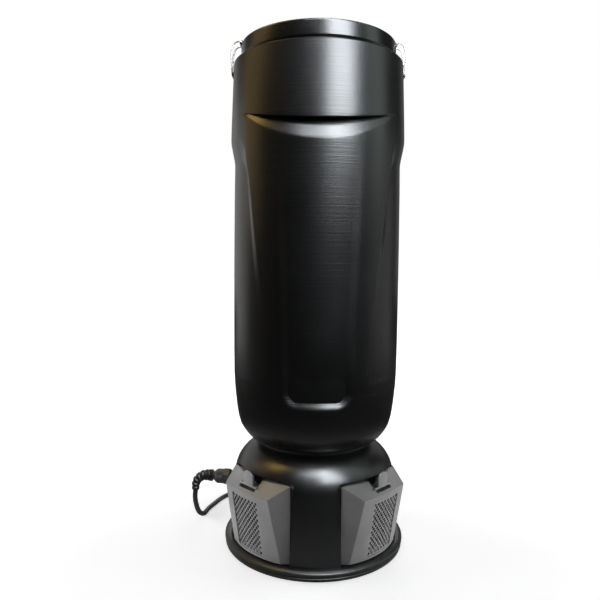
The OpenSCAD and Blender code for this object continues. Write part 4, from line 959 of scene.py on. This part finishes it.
corner_turn = np.radians(np.arange(0, 90, 11.25))
side_z = np.concatenate([
    [FOOT], np.linspace(14, 52, 9),
    [55.5, 59, 62.75, 66.5, 70.25, 72, 74, 77.75, 81.5, 85.25, 89, 94, 97.6, 101.2],
    POCKET_TOP - POCKET_R + POCKET_R * np.sin(corner_turn), [POCKET_TOP]])
half_angle = np.degrees(np.arcsin(pocket_half(side_z) / housing_radius(side_z)))
inner, outer = COVER_ANGLE - half_angle, COVER_ANGLE + half_angle
switch_half = np.degrees(np.arcsin(13.5 / housing_radius(side_z)))
across = np.linspace(-1, 1, 33)
fine = np.linspace(0, 1, 7)
# the columns of the strips: in front, from a pocket to the switch, on to the gland, and on to the next pocket
front_shares = np.concatenate([[0, 0.012], np.linspace(0.04, 0.96, 23), [0.988, 1]])
to_switch = np.concatenate([[0, 0.01], np.linspace(0.04, 1, 17)])
to_gland = np.linspace(0, 1, 25)
to_pocket = np.concatenate([np.linspace(0, 0.94, 5), [0.985, 1]])
gland_low, gland_high = GLAND_ANGLE - PATCH, GLAND_ANGLE + PATCH
skin = [strip(-inner, inner, front_shares, side_z),
        strip(outer, SWITCH_ANGLE - switch_half, to_switch, side_z),
        strip(SWITCH_ANGLE + switch_half, gland_low, to_gland, side_z),
        strip(gland_high, 360 - outer, to_pocket, side_z)]

# above and below the switch opening and the gland's patch
for (low, high), middle, half in ((SWITCH_Z, SWITCH_ANGLE, switch_half),
                                  (PATCH_Z, GLAND_ANGLE, PATCH + 0 * side_z)):
    for rows in (side_z <= low, side_z >= high):
        skin.append(strip(middle - half[rows], middle + half[rows], fine, side_z[rows]))
patch_z = side_z[(side_z >= PATCH_Z[0]) & (side_z <= PATCH_Z[1])]
up_side = np.full(len(patch_z) - 2, gland_high)
corners_a = loop(gland_low + 2 * PATCH * fine, up_side, gland_high - 2 * PATCH * fine, up_side - 2 * PATCH)
corners_z = loop(np.full(7, 59.0), patch_z[1:-1], np.full(7, 89.0), patch_z[-2:0:-1])
spoke = np.arctan2(corners_z - GLAND_AT[1], np.radians(corners_a - GLAND_ANGLE) * PATCH_R)
hole_a = GLAND_ANGLE + np.degrees(GLAND_HOLE * np.cos(spoke) / PATCH_R)
patch_rows = np.stack([corners_z, GLAND_AT[1] + GLAND_HOLE * np.sin(spoke)])
skin.append(on_wall(housing_radius(patch_rows), np.stack([corners_a, hole_a]), patch_rows))

# %% Pockets, foot and dome
for side in (-1, 1):
    rise = side_z[1:-1]
    x_edge = loop(POCKET_W * across, pocket_half(rise), -(POCKET_W - POCKET_R) * across,
                  -pocket_half(rise[::-1]))
    z_edge = loop(np.full(33, 12.0), rise, np.full(33, POCKET_TOP), rise[::-1])
    u_edge = np.sqrt(housing_radius(z_edge) ** 2 - x_edge**2)
    share_up = (rise - FOOT) / (POCKET_TOP - FOOT)
    x_window = loop(28 * across, 28 + 0 * rise, -28 * across, -28 + 0 * rise)
    z_window = loop(np.full(33, 34.0), 34 + 53 * share_up, np.full(33, 87.0), 34 + 53 * share_up[::-1])
    back = POCKET_BACK + 0 * x_edge
    rings = [np.stack(line, -1) for line in ((x_edge, u_edge, z_edge), (x_edge, back, z_edge),
                                             (x_window, back, z_window))]
    skin.append(in_cover(np.stack(rings), side))


def round_angles(row, half_w):
    """Angles round a level row of the skin that meet the columns of its strips and pockets."""
    pocket = np.degrees(np.arcsin(half_w * across / housing_radius(side_z[row])))[1:-1]
    a, b, s = inner[row], outer[row], switch_half[row]
    return np.concatenate([
        -a + 2 * a * front_shares, COVER_ANGLE + pocket, b + (SWITCH_ANGLE - s - b) * to_switch,
        SWITCH_ANGLE - s + 2 * s * fine[1:-1], SWITCH_ANGLE + s + (gland_low - SWITCH_ANGLE - s) * to_gland,
        gland_low + 2 * PATCH * fine[1:-1], gland_high + (360 - b - gland_high) * to_pocket,
        360 - COVER_ANGLE + pocket])


foot_z = np.array([0.6, 2, 7, 11, FOOT])[:, None]
skin.append(on_wall(housing_radius(foot_z), round_angles(0, POCKET_W), foot_z))
climb = np.radians(np.linspace(math.degrees(math.asin((POCKET_TOP - SHOULDER) / DOME_R)), 76, 22))
crown = np.concatenate([np.stack([DOME_AT + DOME_R * np.cos(climb), SHOULDER + DOME_R * np.sin(climb)], -1),
                        [(73.2, 137.6), (72, 138), (69, 138), (65.3, 138)]])
skin.append(on_wall(crown[:, :1], round_angles(-1, POCKET_W - POCKET_R), crown[:, 1:]))
housing = piece("housing_shell", "vacuum", "housing_shell", skin, ["motor_housing"], crease=32)
thicken(housing, 3, even=False)
soften(housing, 0.9, 3, 40)

# %% Hinge lugs and screw bosses
lugs = []
for side in (-1, 1):
    for x in (-10, 10):
        eye = placed([sleeve(1.5, 2.4, -2, 2, 0.3)], lambda g: g[..., SIDEWAYS] + [x, *HINGE])
        eye += moved(rounded_block((4, 4.7, 6), 0.5, 2), (x, 103.95, 14))
        lugs += placed(eye, lambda g: in_cover(g, side))


def four_round(r, start):
    """Four places (x, y) on a circle, the first at start degrees."""
    a = np.radians(start + 90 * np.arange(4))
    return r * np.stack([np.cos(a), np.sin(a)], -1)


tank_screw_at, base_screw_at = four_round(70.8, 45), four_round(104.4, 0)
lugs += [g for x, y in base_screw_at for g in moved([sleeve(2.05, 5.5, 4.3, 22, 0.4)], (x, y, 0))]
lugs += [g for x, y in tank_screw_at for g in moved([sleeve(2.05, 4.5, 129, 136, 0.4)], (x, y, 0))]
piece("housing_lugs", "vacuum", "housing_shell", lugs)
print("housing:", len(housing.data.polygons), "faces before its wall")

# %% [markdown]
# ## The lid, its cuff and its latches
#
# The lid is a shallow round cap that drops into the rim. A wire latch on each side pivots in a lug on the
# lid's edge and hooks under a catch on the collar. The hose plugs into a cuff that turns in the middle.
# All but the lugs and wires are profiles turned about the axis.

# %% Lid
lid_profile = rounded([(24.05, 659.4), (60, 659.0), (100.4, 657.8), (100.4, 640), (98.6, 635.6),
                       (98.6, 612.4), (106.0, 612.0), (106.0, 608), (97.2, 608), (97.2, 654.6),
                       (28, 656.4), (28, 610.5), (24.05, 610.5)],
                      [0.8, 30, 2.6, 0.5, 1, 1, 1, 0.6, 0.6, 2, 1, 0.6, 0.6], 8, True)
lid_parts = [(turned(lid_profile, 192), True, True)]
for side in (-1, 1):
    lid_parts += moved(rounded_block((9.4, 17.2, 13), 1.2, 4), (side * 95.0, 0, 656.6))
    lid_parts.append(pin(3.2, -8.6, 8.6, (0.7, 0.7))[..., OUTWARD] + [side * 99.2, 0, 661.5])
lid = piece("lid_cap", "lid", "lid_shell", lid_parts, ["lid"])

cuff_profile = rounded([(19, 556), (24, 556), (24, 601.4), (22.5, 601.8), (22.5, 603.8), (24, 604.2),
                        (24, 659.8), (28, 659.8), (28, 663.8), (24, 664.6), (24, 680), (19, 680)],
                       [0.8, 1, 0.2, 0.2, 0.2, 0.2, 0.2, 0.8, 1.2, 0.8, 1.4, 1], 4, True)
cuff = piece("hose_socket_cuff", "hose_cuff", "inner_plastic", [(turned(cuff_profile, 144), True, True)],
             ["hose_cuff"])
print("lid and cuff:", len(lid.data.polygons), len(cuff.data.polygons), "faces")

# %% Wire latches
half_wire = np.array([(99.2, 2, 661.5), (99.2, 10, 661.5), (103.0, 10, 662.9), (109.4, 10, 660.4),
                      (112.6, 10, 650), (113.0, 10, 642), (112.3, 10, 631), (111.8, 10, 620.3)])
wire_r = [0, 1.5, 3, 8, 8, 20, 20, 1.8]
wire_line = rounded(np.concatenate([half_wire, half_wire[::-1] * [1, -1, 1]]), wire_r + wire_r[::-1])
wire_line = wire_line[np.concatenate([[True], gaps(wire_line) > 0.02])]
for side, word in ((-1, "left"), (1, "right")):
    wire = tube(wire_line * [side, 1, 1], 0.85, 14, (0.53, 0.31, 0.11))
    piece(f"wire_latch_{word}", f"latch_{word}", "wire", [wire], [f"latch_{word}"], crease=60)
print("latch wire", round(gaps(wire_line).sum()), "mm long")

# %% [markdown]
# ## The harness plate and the screws
#
# A moulded plate on the back carries the straps. It has a thin web inside a frame of ribs, with thick
# places round its holes. Both are flat outlines with holes, filled and given a thickness as curves are,
# and made into a mesh before they are stood up. The screws have domed heads with a hexagon socket.

# %% Harness plate
def flat_shape(outline, holes, low, high, edge):
    """A filled curve between two heights, with holes and a bevel: its points in millimetres and its faces."""
    curve = bpy.data.curves.new("flat", "CURVE")
    curve.dimensions, curve.fill_mode = "2D", "BOTH"
    curve.extrude, curve.bevel_depth, curve.bevel_resolution = (high - low) / 2 - edge, edge, 2
    curve.offset = -edge
    for line in [outline, *holes]:
        spline = curve.splines.new("POLY")
        spline.points.add(len(line) - 1)
        zero, one = np.zeros(len(line)), np.ones(len(line))
        spline.points.foreach_set("co", np.column_stack([line, zero, one]).ravel())
        spline.use_cyclic_u = True
    holder = show("flat", curve)
    made = bpy.data.meshes.new_from_object(holder.evaluated_get(bpy.context.evaluated_depsgraph_get()))
    points = np.empty(len(made.vertices) * 3)
    made.vertices.foreach_get("co", points)
    points = points.reshape(-1, 3) + [0, 0, (low + high) / 2]
    faces = [tuple(f.vertices) for f in made.polygons]
    for data, group in ((holder, bpy.data.objects), (curve, bpy.data.curves), (made, bpy.data.meshes)):
        group.remove(data)
    return points, faces


def round_rect(x, y, w, h, r):
    """The outline of a rectangle w x h with round corners, centred on (x, y)."""
    return stacked([(w / 2, h / 2, r, 0)], 6)[0, :, :2] + [x, y]


def ring_line(x, y, r):
    """A circle's outline."""
    a = np.linspace(0, 2 * math.pi, 32, endpoint=False)
    return np.stack([x + r * np.cos(a), y + r * np.sin(a)], -1)


PLATE_BACK, PLATE_MID = 114, 382  # the plate's inner face and the height of its middle
holes = [ring_line(x * right, z * above, r) for x, z, r in ((60, 130, 3.25), (40, 110, 2.8))
         for right in (-1, 1) for above in (-1, 1)]
windows = [round_rect(x, z, 56, 62, 7) for x in (-34, 34) for z in (-70, 0, 70)]
windows += [round_rect(0, z, 46, 22, 6) for z in (-128, 128)]
web_points, web_faces = flat_shape(round_rect(0, 0, 150, 300, 15), holes, 0, 3.2, 0.5)
rib_points, rib_faces = flat_shape(round_rect(0, 0, 149.6, 299.6, 14.8), holes + windows, 1.5, 5, 0.7)
x, up, out = np.concatenate([web_points, rib_points]).T
plate_faces = web_faces + [tuple(v + len(web_points) for v in f) for f in rib_faces]
harness_mesh = bpy.data.meshes.new("harness_back")
harness_mesh.from_pydata(np.stack([-x, out + PLATE_BACK, up + PLATE_MID], -1) * MM, [], plate_faces)
harness_mesh.update()
harness_mesh.shade_smooth()
harness_mesh.set_sharp_from_angle(angle=math.radians(40))
harness = show("harness_back", harness_mesh, FINISH["inner_plastic"])
belongs(harness, "vacuum", ["harness_plate"])
print("harness plate", len(plate_faces), "faces")


# %% Screws
def screw(shank, length, head, height, socket):
    """A screw on its seat at 0, pointing down: the head is a low dome, and its socket is cut to a hexagon."""
    depth = height * 0.65
    line = rounded([(0, -length), (shank * 0.4, -length), (shank, -length + shank), (shank, 0), (head, 0),
                    (head, height * 0.45), (head * 0.62, height), (socket * 1.25, height)],
                   [0, 0.2, 0.3, 0.2, 0.2, 0.6, 0.6, 0], 3)
    outer = turned(line, 36)
    wide, low = socket * 1.4, height - depth
    return np.concatenate([outer, six_sided([(wide, height), (wide, low), (0, low)], socket, 36)])


UP, DOWN, BACKWARD = np.eye(3), np.diag([1, -1, -1]), np.array([[1, 0, 0], [0, 0, 1], [0, -1, 0]])
for use, sizes, turn, places in (
        ("tank", (2, 23, 3.8, 2.4, 1.5), UP, [(x, y, 153) for x, y in tank_screw_at]),
        ("base", (2, 15, 3.9, 1.8, 1.5), DOWN, [(x, y, 2.3) for x, y in base_screw_at]),
        ("harness", (2.5, 14, 4.6, 3, 1.9), BACKWARD, [(x, 119, z) for x, z in harness_screw_at])):
    piece(f"{use}_fixings", "vacuum", "steel", [screw(*sizes) @ turn.T + place for place in places],
          [f"{use}_screws"], crease=35)
print("three sets of four screws")

# %% [markdown]
# ## The switch
#
# A snap-in rocker switch sits low on the back of the housing: a black frame with a red rocker that stands
# tilted to one side. Frame and rocker are stacks of rounded rectangles.

# %% Switch
def at_switch(points):
    """From the switch's frame (across, up, out) to its place in the wall."""
    return at_wall(points + [0, 0, 110.27], SWITCH_ANGLE, sum(SWITCH_Z) / 2)


frame_grid = stacked([(0, 0, 0, -20), (13.4, 9.9, 1, -20), (13.4, 9.9, 1, 0), (16, 12.5, 1.6, 0),
                      (16, 12.5, 1.6, 1.2), (15.6, 12.1, 1.4, 1.8), (15.0, 11.5, 1.2, 2), (11.6, 8.1, 0.8, 2),
                      (11, 7.5, 0.6, 1.6), (11, 7.5, 0.6, -9), (0, 0, 0, -9)], 4)
piece("switch_frame", "vacuum", "inner_plastic", [at_switch(frame_grid)], ["switch_housing"], crease=30,
      finish="housing_shell")
rocker_rows = [(1, 6), (0.97, 6)] + [(f, 6.3) for f in (0.92, 0.8, 0.6, 0.4, 0.2, 0.001)]
rocker_grid = stacked([(0, 0, 0, -1.2), (10.2, 6.9, 0.6, -1.2)]
                      + [(10.3 * f, 7 * f, 0.8 * f, z) for f, z in rocker_rows], 8)
rocker_x, rocker_z = rocker_grid[..., 0], rocker_grid[..., 2]
bulge = 5.2 - 0.043 * rocker_x**2 - 0.9 * np.exp(-((rocker_x / 3.2) ** 2)) - 6.3
rocker_grid[..., 2] = np.where(rocker_z > 1, rocker_z + bulge, rocker_z)
axle = turned([(0, -9.2), (1.2, -9.2), (1.2, 9.2), (0, 9.2)], 24)[..., OUTWARD]
tilt = np.array(Matrix.Rotation(math.radians(10), 3, "Y"))
piece("switch_button", "rocker", "rocker_red",
      [at_switch(g @ tilt.T + [0, 0, -3.5]) for g in (rocker_grid, axle)], ["switch_rocker"], crease=35)
print("switch frame and rocker made")

# %% [markdown]
# ## What is soft inside
#
# A paper bag hangs from its card under the hose cuff, inside a cloth filter that hangs from a ring in the
# rim. Both are thin sheets made into a tube, so they are surfaces of revolution whose radius waves with
# folds that grow between the fixed ends. Foam rings and pads are full, round-edged solids.

# %% Bag and cloth filter
def hung(profile, folds, deep, seed):
    """A tube of sheet: r = profile + deep x (sum of waves of random phase) x distance from a fixed end."""
    grid = turned(profile, 120)
    rng = np.random.default_rng(seed)
    a = np.linspace(0, 2 * math.pi, 120, endpoint=False)[None, :]
    down = np.linspace(0, 1, len(profile))[:, None]
    wave = sum(np.cos(k * a + rng.uniform(0, 6.28) + down * rng.uniform(-2, 2)) for k in folds) / len(folds)
    fall = np.clip(np.sin(np.pi * down) * 1.5, 0, 1)
    r = np.maximum(np.hypot(grid[..., 0], grid[..., 1]), 1e-9)
    grid[..., :2] *= ((r + deep * wave * fall * np.clip(r / 60, 0, 1)) / r)[..., None]
    grid[..., 2] += 0.4 * deep * wave * fall
    return grid


def hung_piece(name, slot, grid, wall, node):
    """A hung sheet with a wall of that thickness in millimetres, standing for one CAD node."""
    obj = piece(name, "vacuum", slot, [grid], [node], crease=70, core=(0, 0, 380))
    thicken(obj, wall, even=False)
    print(name, len(obj.data.polygons), "faces")


bag_line = rounded([(24.6, 560.8), (70, 560.0), (88.5, 556), (90.6, 520), (90.6, 215), (84, 189.5), (40, 189),
                    (0, 189)], [0, 20, 12, 30, 40, 16, 10, 0], 8)
hung_piece("dust_bag_paper", "filter_paper", hung(bag_line, (5, 7, 11, 16), 1.9, 3), 0.8,
           "dust_bag")
cloth_line = rounded([(96.9, 605.6), (97.0, 590), (96.3, 400), (96.3, 198), (86, 172.5), (40, 171.6),
                      (0, 171.6)], [0, 10, 60, 20, 14, 10, 0], 9)
hung_piece("cloth_filter_bag", "filter_cloth", hung(cloth_line, (4, 9, 13), 0.8, 8), 0.9,
           "cloth_filter")


# %% Foam
def foam_relief(grid, size, seed):
    """Moves every point by a little, a sum of waves in random directions, so that foam isn't dead flat."""
    rng = np.random.default_rng(seed)
    shift = np.zeros(grid.shape[:-1])
    for _ in range(6):
        shift += np.sin(grid @ rng.normal(0, 0.25, 3) + rng.uniform(0, 6.28))
    return grid + (shift * size / 6)[..., None] * rng.normal(0, 1, 3) / 1.7


def foam_piece(name, slot, grids, node):
    """A full pad of foam or felt."""
    obj = piece(name, "vacuum", slot, grids, [node], crease=60)
    print(name, len(obj.data.polygons), "faces")


RING_LOW, RING_HIGH = 4.1, 81.9
sound_line = rounded([(74, RING_LOW), (80, RING_LOW), (80, 30), (80, 56), (80, RING_HIGH), (74, RING_HIGH),
                      (74, 56), (74, 30)], [2.2, 2.2, 1, 1, 2.2, 2.2, 1, 1], 5, True)
sound_ring = turned(sound_line, 180)
round_a = np.degrees(np.arctan2(sound_ring[..., 0], -sound_ring[..., 1]))
# notches at the gland and at the switch: middle, half width in degrees, depth
notch = sum(np.clip((half - np.abs((round_a - mid + 180) % 360 - 180)) / 1.5, 0, 1) * drop
            for mid, half, drop in ((-100, 12.5, 23), (150, 14.0, 34)))
sound_ring[..., 2] = RING_LOW + (sound_ring[..., 2] - RING_LOW) * (1 - notch / (RING_HIGH - RING_LOW))
foam_piece("sound_foam", "foam", [(foam_relief(sound_ring, 0.3, 1), True, True)], "acoustic_foam")

pad_line = rounded([(0, 153.1), (63.7, 153.1), (64.3, 158), (63.8, 164.9), (45, 165.1), (25, 165.2),
                    (0, 165.2)], [0, 1.5, 2, 2.5, 2, 2, 0], 6)
foam_piece("motor_filter_foam", "foam", [foam_relief(turned(pad_line, 120), 0.25, 2)], "motor_filter")

pad = stacked([(0, 0, 0, 85.2), (20, 18, 4, 85.2), (30.5, 29.3, 2, 85.3), (31.9, 30.4, 3, 86.6),
               (31.9, 30.4, 3, 92), (31.0, 29.6, 2.4, 93.5), (24, 22, 5, 93.9), (12, 11, 4, 93.9),
               (0, 0, 0, 93.9)], 6)[..., OUTWARD] + [0, 0, 60.5]
foam_piece("exhaust_felt_pads", "exhaust_foam",
           [in_cover(foam_relief(pad, 0.15, 5 + side), side) for side in (-1, 1)], "exhaust_filters")

# %% [markdown]
# ## The motor's windings
#
# Each field coil is a bundle of enamelled wire laid round a pole of the stator, and the armature's wires
# show where they cross over its two ends. A bundle is drawn as its outer turns: round tubes that follow
# one closed path, side by side in rows.

# %% Windings
def span(node):
    """The lowest and highest point of a CAD node in millimetres."""
    return [corner[2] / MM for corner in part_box(node)]


def along_loop(path):
    """The direction of a closed path at each of its points."""
    return unit(np.roll(path, -1, 0) - np.roll(path, 1, 0))


def bundle(path, across, up, count, radius):
    """Tubes side by side: the closed path, moved by a grid of offsets along two directions at each point."""
    grids = []
    k = np.linspace(0, 2 * math.pi, 8, endpoint=False)[None, :, None]
    for i in range(count[0]):
        for j in range(count[1]):
            shift = (i - (count[0] - 1) / 2) * across + (j - (count[1] - 1) / 2) * up
            p = path + 2 * radius * 0.98 * shift
            along = along_loop(p)
            side = unit(np.cross(along, up))
            rings = np.cos(k) * side[:, None] + np.sin(k) * np.cross(side, along)[:, None]
            grids.append((p[:, None] + radius * rings, True, True))
    return grids


coil_grids = []
POLE_R, LAP_HALF, LAP_END = 33, 23.4, 4.2
low_z, high_z = span("field_coils")
lap = rounded([(LAP_HALF, low_z + LAP_END), (LAP_HALF, high_z - LAP_END), (-LAP_HALF, high_z - LAP_END),
               (-LAP_HALF, low_z + LAP_END)], 6, 8, True)
depth = np.sqrt(POLE_R**2 - lap[:, 0] ** 2)
for facing in (-1, 1):
    path = np.stack([lap[:, 0], facing * (depth - 3), lap[:, 1]], -1)
    out_dir = np.stack([lap[:, 0], facing * depth, 0 * depth], -1) / POLE_R
    coil_grids += bundle(path, np.cross(along_loop(path), out_dir), out_dir, (3, 4), 1.1)
piece("field_windings", "vacuum", "copper_wire", coil_grids, ["field_coils"], crease=60)

shaft_low, shaft_high = span("armature_windings")
core_low, core_high = span("armature_core")
head_grids = []
for z_a, z_b in ((core_high, shaft_high), (shaft_low, core_low)):
    line = [(4.1, z_a), (17.4, z_a), (17.9, (z_a + z_b) / 2), (16.8, z_b), (4.1, z_b)]
    head = turned(rounded(line, [0.1, 0.6, 1.2, 1.2, 0.1], 6, True), 216)
    a = np.arctan2(head[..., 0], -head[..., 1])
    r = np.hypot(head[..., 0], head[..., 1])
    lobes = 1 + np.where(r > 8, 0.014 * np.cos(12 * a) + 0.010 * np.cos(72 * a), 0)
    head[..., :2] *= lobes[..., None] * 0.985
    head_grids.append((head, True, True))
piece("armature_wire", "rotor", "copper_wire", head_grids, ["armature_windings"], crease=60)
print("windings:", len(coil_grids), "turns drawn on the two field coils")

# %% [markdown]
# ## Light, floor and backdrop
#
# One large soft lamp stands to the right and shows as a long highlight down the black tank; dimmer panels
# at the sides and behind draw its edges. Those lamps shine only on gloss. Three broad fills, which gloss
# doesn't show, light the colours evenly. The camera sees a white room, and gloss a dim one.

# %% Lamps
COOL, GREEN, AMBER, ORANGE, WHITE = (0.9, 0.95, 1), (0.85, 1, 0.9), (1, 0.68, 0.3), (1, 0.66, 0.18), (1, 1, 1)


def lamp(name, azimuth, distance, height, size, level, tint, aim):
    """An area lamp at that angle round the object (0 is the front, 90 the right), in metres, facing the axis.

    A lamp shows in gloss only, at that level where 1 is white, and a fill lights colours only."""
    data = bpy.data.lights.new(name, "AREA")
    data.shape, data.size, data.size_y = "RECTANGLE", *size
    data.energy, data.color = level * size[0] * size[1] * math.pi, tint
    obj = show(name, data)
    az, shine = math.radians(azimuth), not name.startswith("Fill")
    spot, target = Vector((math.sin(az) * distance, -math.cos(az) * distance, height)), Vector((0, 0, aim))
    turn = (target - spot).to_track_quat("-Z", "Y").to_matrix().to_4x4()
    obj.matrix_world = Matrix.Translation(spot) @ turn
    obj.visible_diffuse, obj.visible_glossy, obj.visible_camera = not shine, shine, False


# name, angle, distance, height, width and height of the lamp, level, tint, height that it faces
LAMPS = (
    ("Key", 27.3, 1.05, 1.55, (0.6, 1.62), 27, COOL, 1.55),
    ("Key high", 27, 0.75, 2.3, (0.58, 0.8), 18, COOL, 0.9),
    ("Edge light", -4, 0.95, 1.66, (0.6, 0.5), 15, COOL, 0.15),
    ("Right high", 78, 1.2, 1.35, (0.5, 1.5), 1.5, GREEN, 1.35),
    ("Right low", 95, 1.5, 0.3, (1.3, 1.0), 0.45, WHITE, 0.35),
    ("Left low", -122, 1.5, 0.45, (0.9, 1.1), 0.7, WHITE, 0.35),
    ("Left warm", -93, 1.05, 1.0, (0.6, 1.0), 0.9, AMBER, 1.0),
    ("Left warm high", -86, 1.0, 2.0, (0.45, 1.3), 7, ORANGE, 1.3),
    ("Left edge", -150, 1.8, 0.85, (0.9, 1.3), 0.5, WHITE, 0.85),
    ("Right edge", 150, 1.8, 0.85, (0.9, 1.3), 0.25, WHITE, 0.85),
    ("Back", 180, 1.6, 1.5, (0.9, 0.9), 6, WHITE, 0.5),
    ("Fill left", -100, 2.0, 0.3, (1.8, 0.6), 16, WHITE, 0.35),
    ("Fill right", 100, 2.0, 0.3, (1.8, 0.6), 16, WHITE, 0.35),
    ("Fill back", 180, 1.9, 1.9, (1.8, 1.8), 1.2, WHITE, 0.35),
)
for row in LAMPS:
    lamp(*row)
print(len(LAMPS), "lamps")

# %% World
world = bpy.data.worlds.new("Studio")
bpy.context.scene.world = world
world.use_nodes = True
tree = world.node_tree
new, link = tree.nodes.new, tree.links.new
path, where, split = new("ShaderNodeLightPath"), new("ShaderNodeTexCoord"), new("ShaderNodeSeparateXYZ")
link(where.outputs["Generated"], split.inputs[0])


def mixed(factor, a, b):
    """a where the factor is 0 and b where it is 1; each is a number or another node's result."""
    node = new("ShaderNodeMix")
    for socket, value in ((0, factor), (2, a), (3, b)):
        if isinstance(value, (int, float)):
            node.inputs[socket].default_value = value
        else:
            link(value, node.inputs[socket])
    return node.outputs[0]


# in gloss the room is dim, and a little brighter straight behind the object
behind = remap(tree, split.outputs["Y"], 0.9, 0.985, 0.02, 0.06)
strength = mixed(path.outputs["Is Glossy Ray"], 0.12, behind)
for ray in ("Is Transmission Ray", "Is Camera Ray"):
    strength = mixed(path.outputs[ray], strength, 1.0)
background = tree.nodes["Background"]
link(strength, background.inputs["Strength"])
background.inputs["Color"].default_value = (1, 1, 1, 1)

# %% Floor
FLOOR_HALF = 9
floor_finish = bpy.data.materials.new("Pale floor")
floor_finish.use_nodes = True
tree = floor_finish.node_tree
new, link = tree.nodes.new, tree.links.new
tree.nodes.clear()
path, where, far_off = new("ShaderNodeLightPath"), new("ShaderNodeTexCoord"), new("ShaderNodeVectorMath")
far_off.operation = "LENGTH"
link(where.outputs["Object"], far_off.inputs[0])
# gloss shows a bright floor close to the base and a dark one from 0.4 m on
seen_in_gloss = remap(tree, far_off.outputs["Value"], 0.13, 0.4, 0.95, 0.05)
shade = mixed(path.outputs["Is Glossy Ray"], mixed(path.outputs["Is Diffuse Ray"], 0.8, 0.7), seen_in_gloss)
paint, glow, both, out = (new(f"ShaderNode{kind}")
                          for kind in ("BsdfDiffuse", "Emission", "AddShader", "OutputMaterial"))
colour = new("ShaderNodeCombineColor")
for channel in range(3):
    link(shade, colour.inputs[channel])
# the camera sees a floor that turns white further out, and the object's shadow on it
seen_by_camera = remap(tree, far_off.outputs["Value"], 0.3, 1.3, 0.6, 1.0)
for result, socket in ((colour.outputs[0], paint.inputs["Color"]),
                       (mixed(path.outputs["Is Camera Ray"], 0.0, seen_by_camera), glow.inputs["Strength"]),
                       (paint.outputs[0], both.inputs[0]), (glow.outputs[0], both.inputs[1]),
                       (both.outputs[0], out.inputs["Surface"])):
    link(result, socket)
floor_mesh = bpy.data.meshes.new("Floor")
floor_mesh.from_pydata([(x * FLOOR_HALF, y * FLOOR_HALF, 0) for x, y in ((-1, -1), (1, -1), (1, 1), (-1, 1))],
                       [], [(0, 1, 2, 3)])
show("Floor", floor_mesh, floor_finish)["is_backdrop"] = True

bpy.context.scene.view_settings.view_transform = "Standard"

# %% Size
low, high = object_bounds()
print("visual", [round(v * 1000, 1) for v in (*low, *high)])
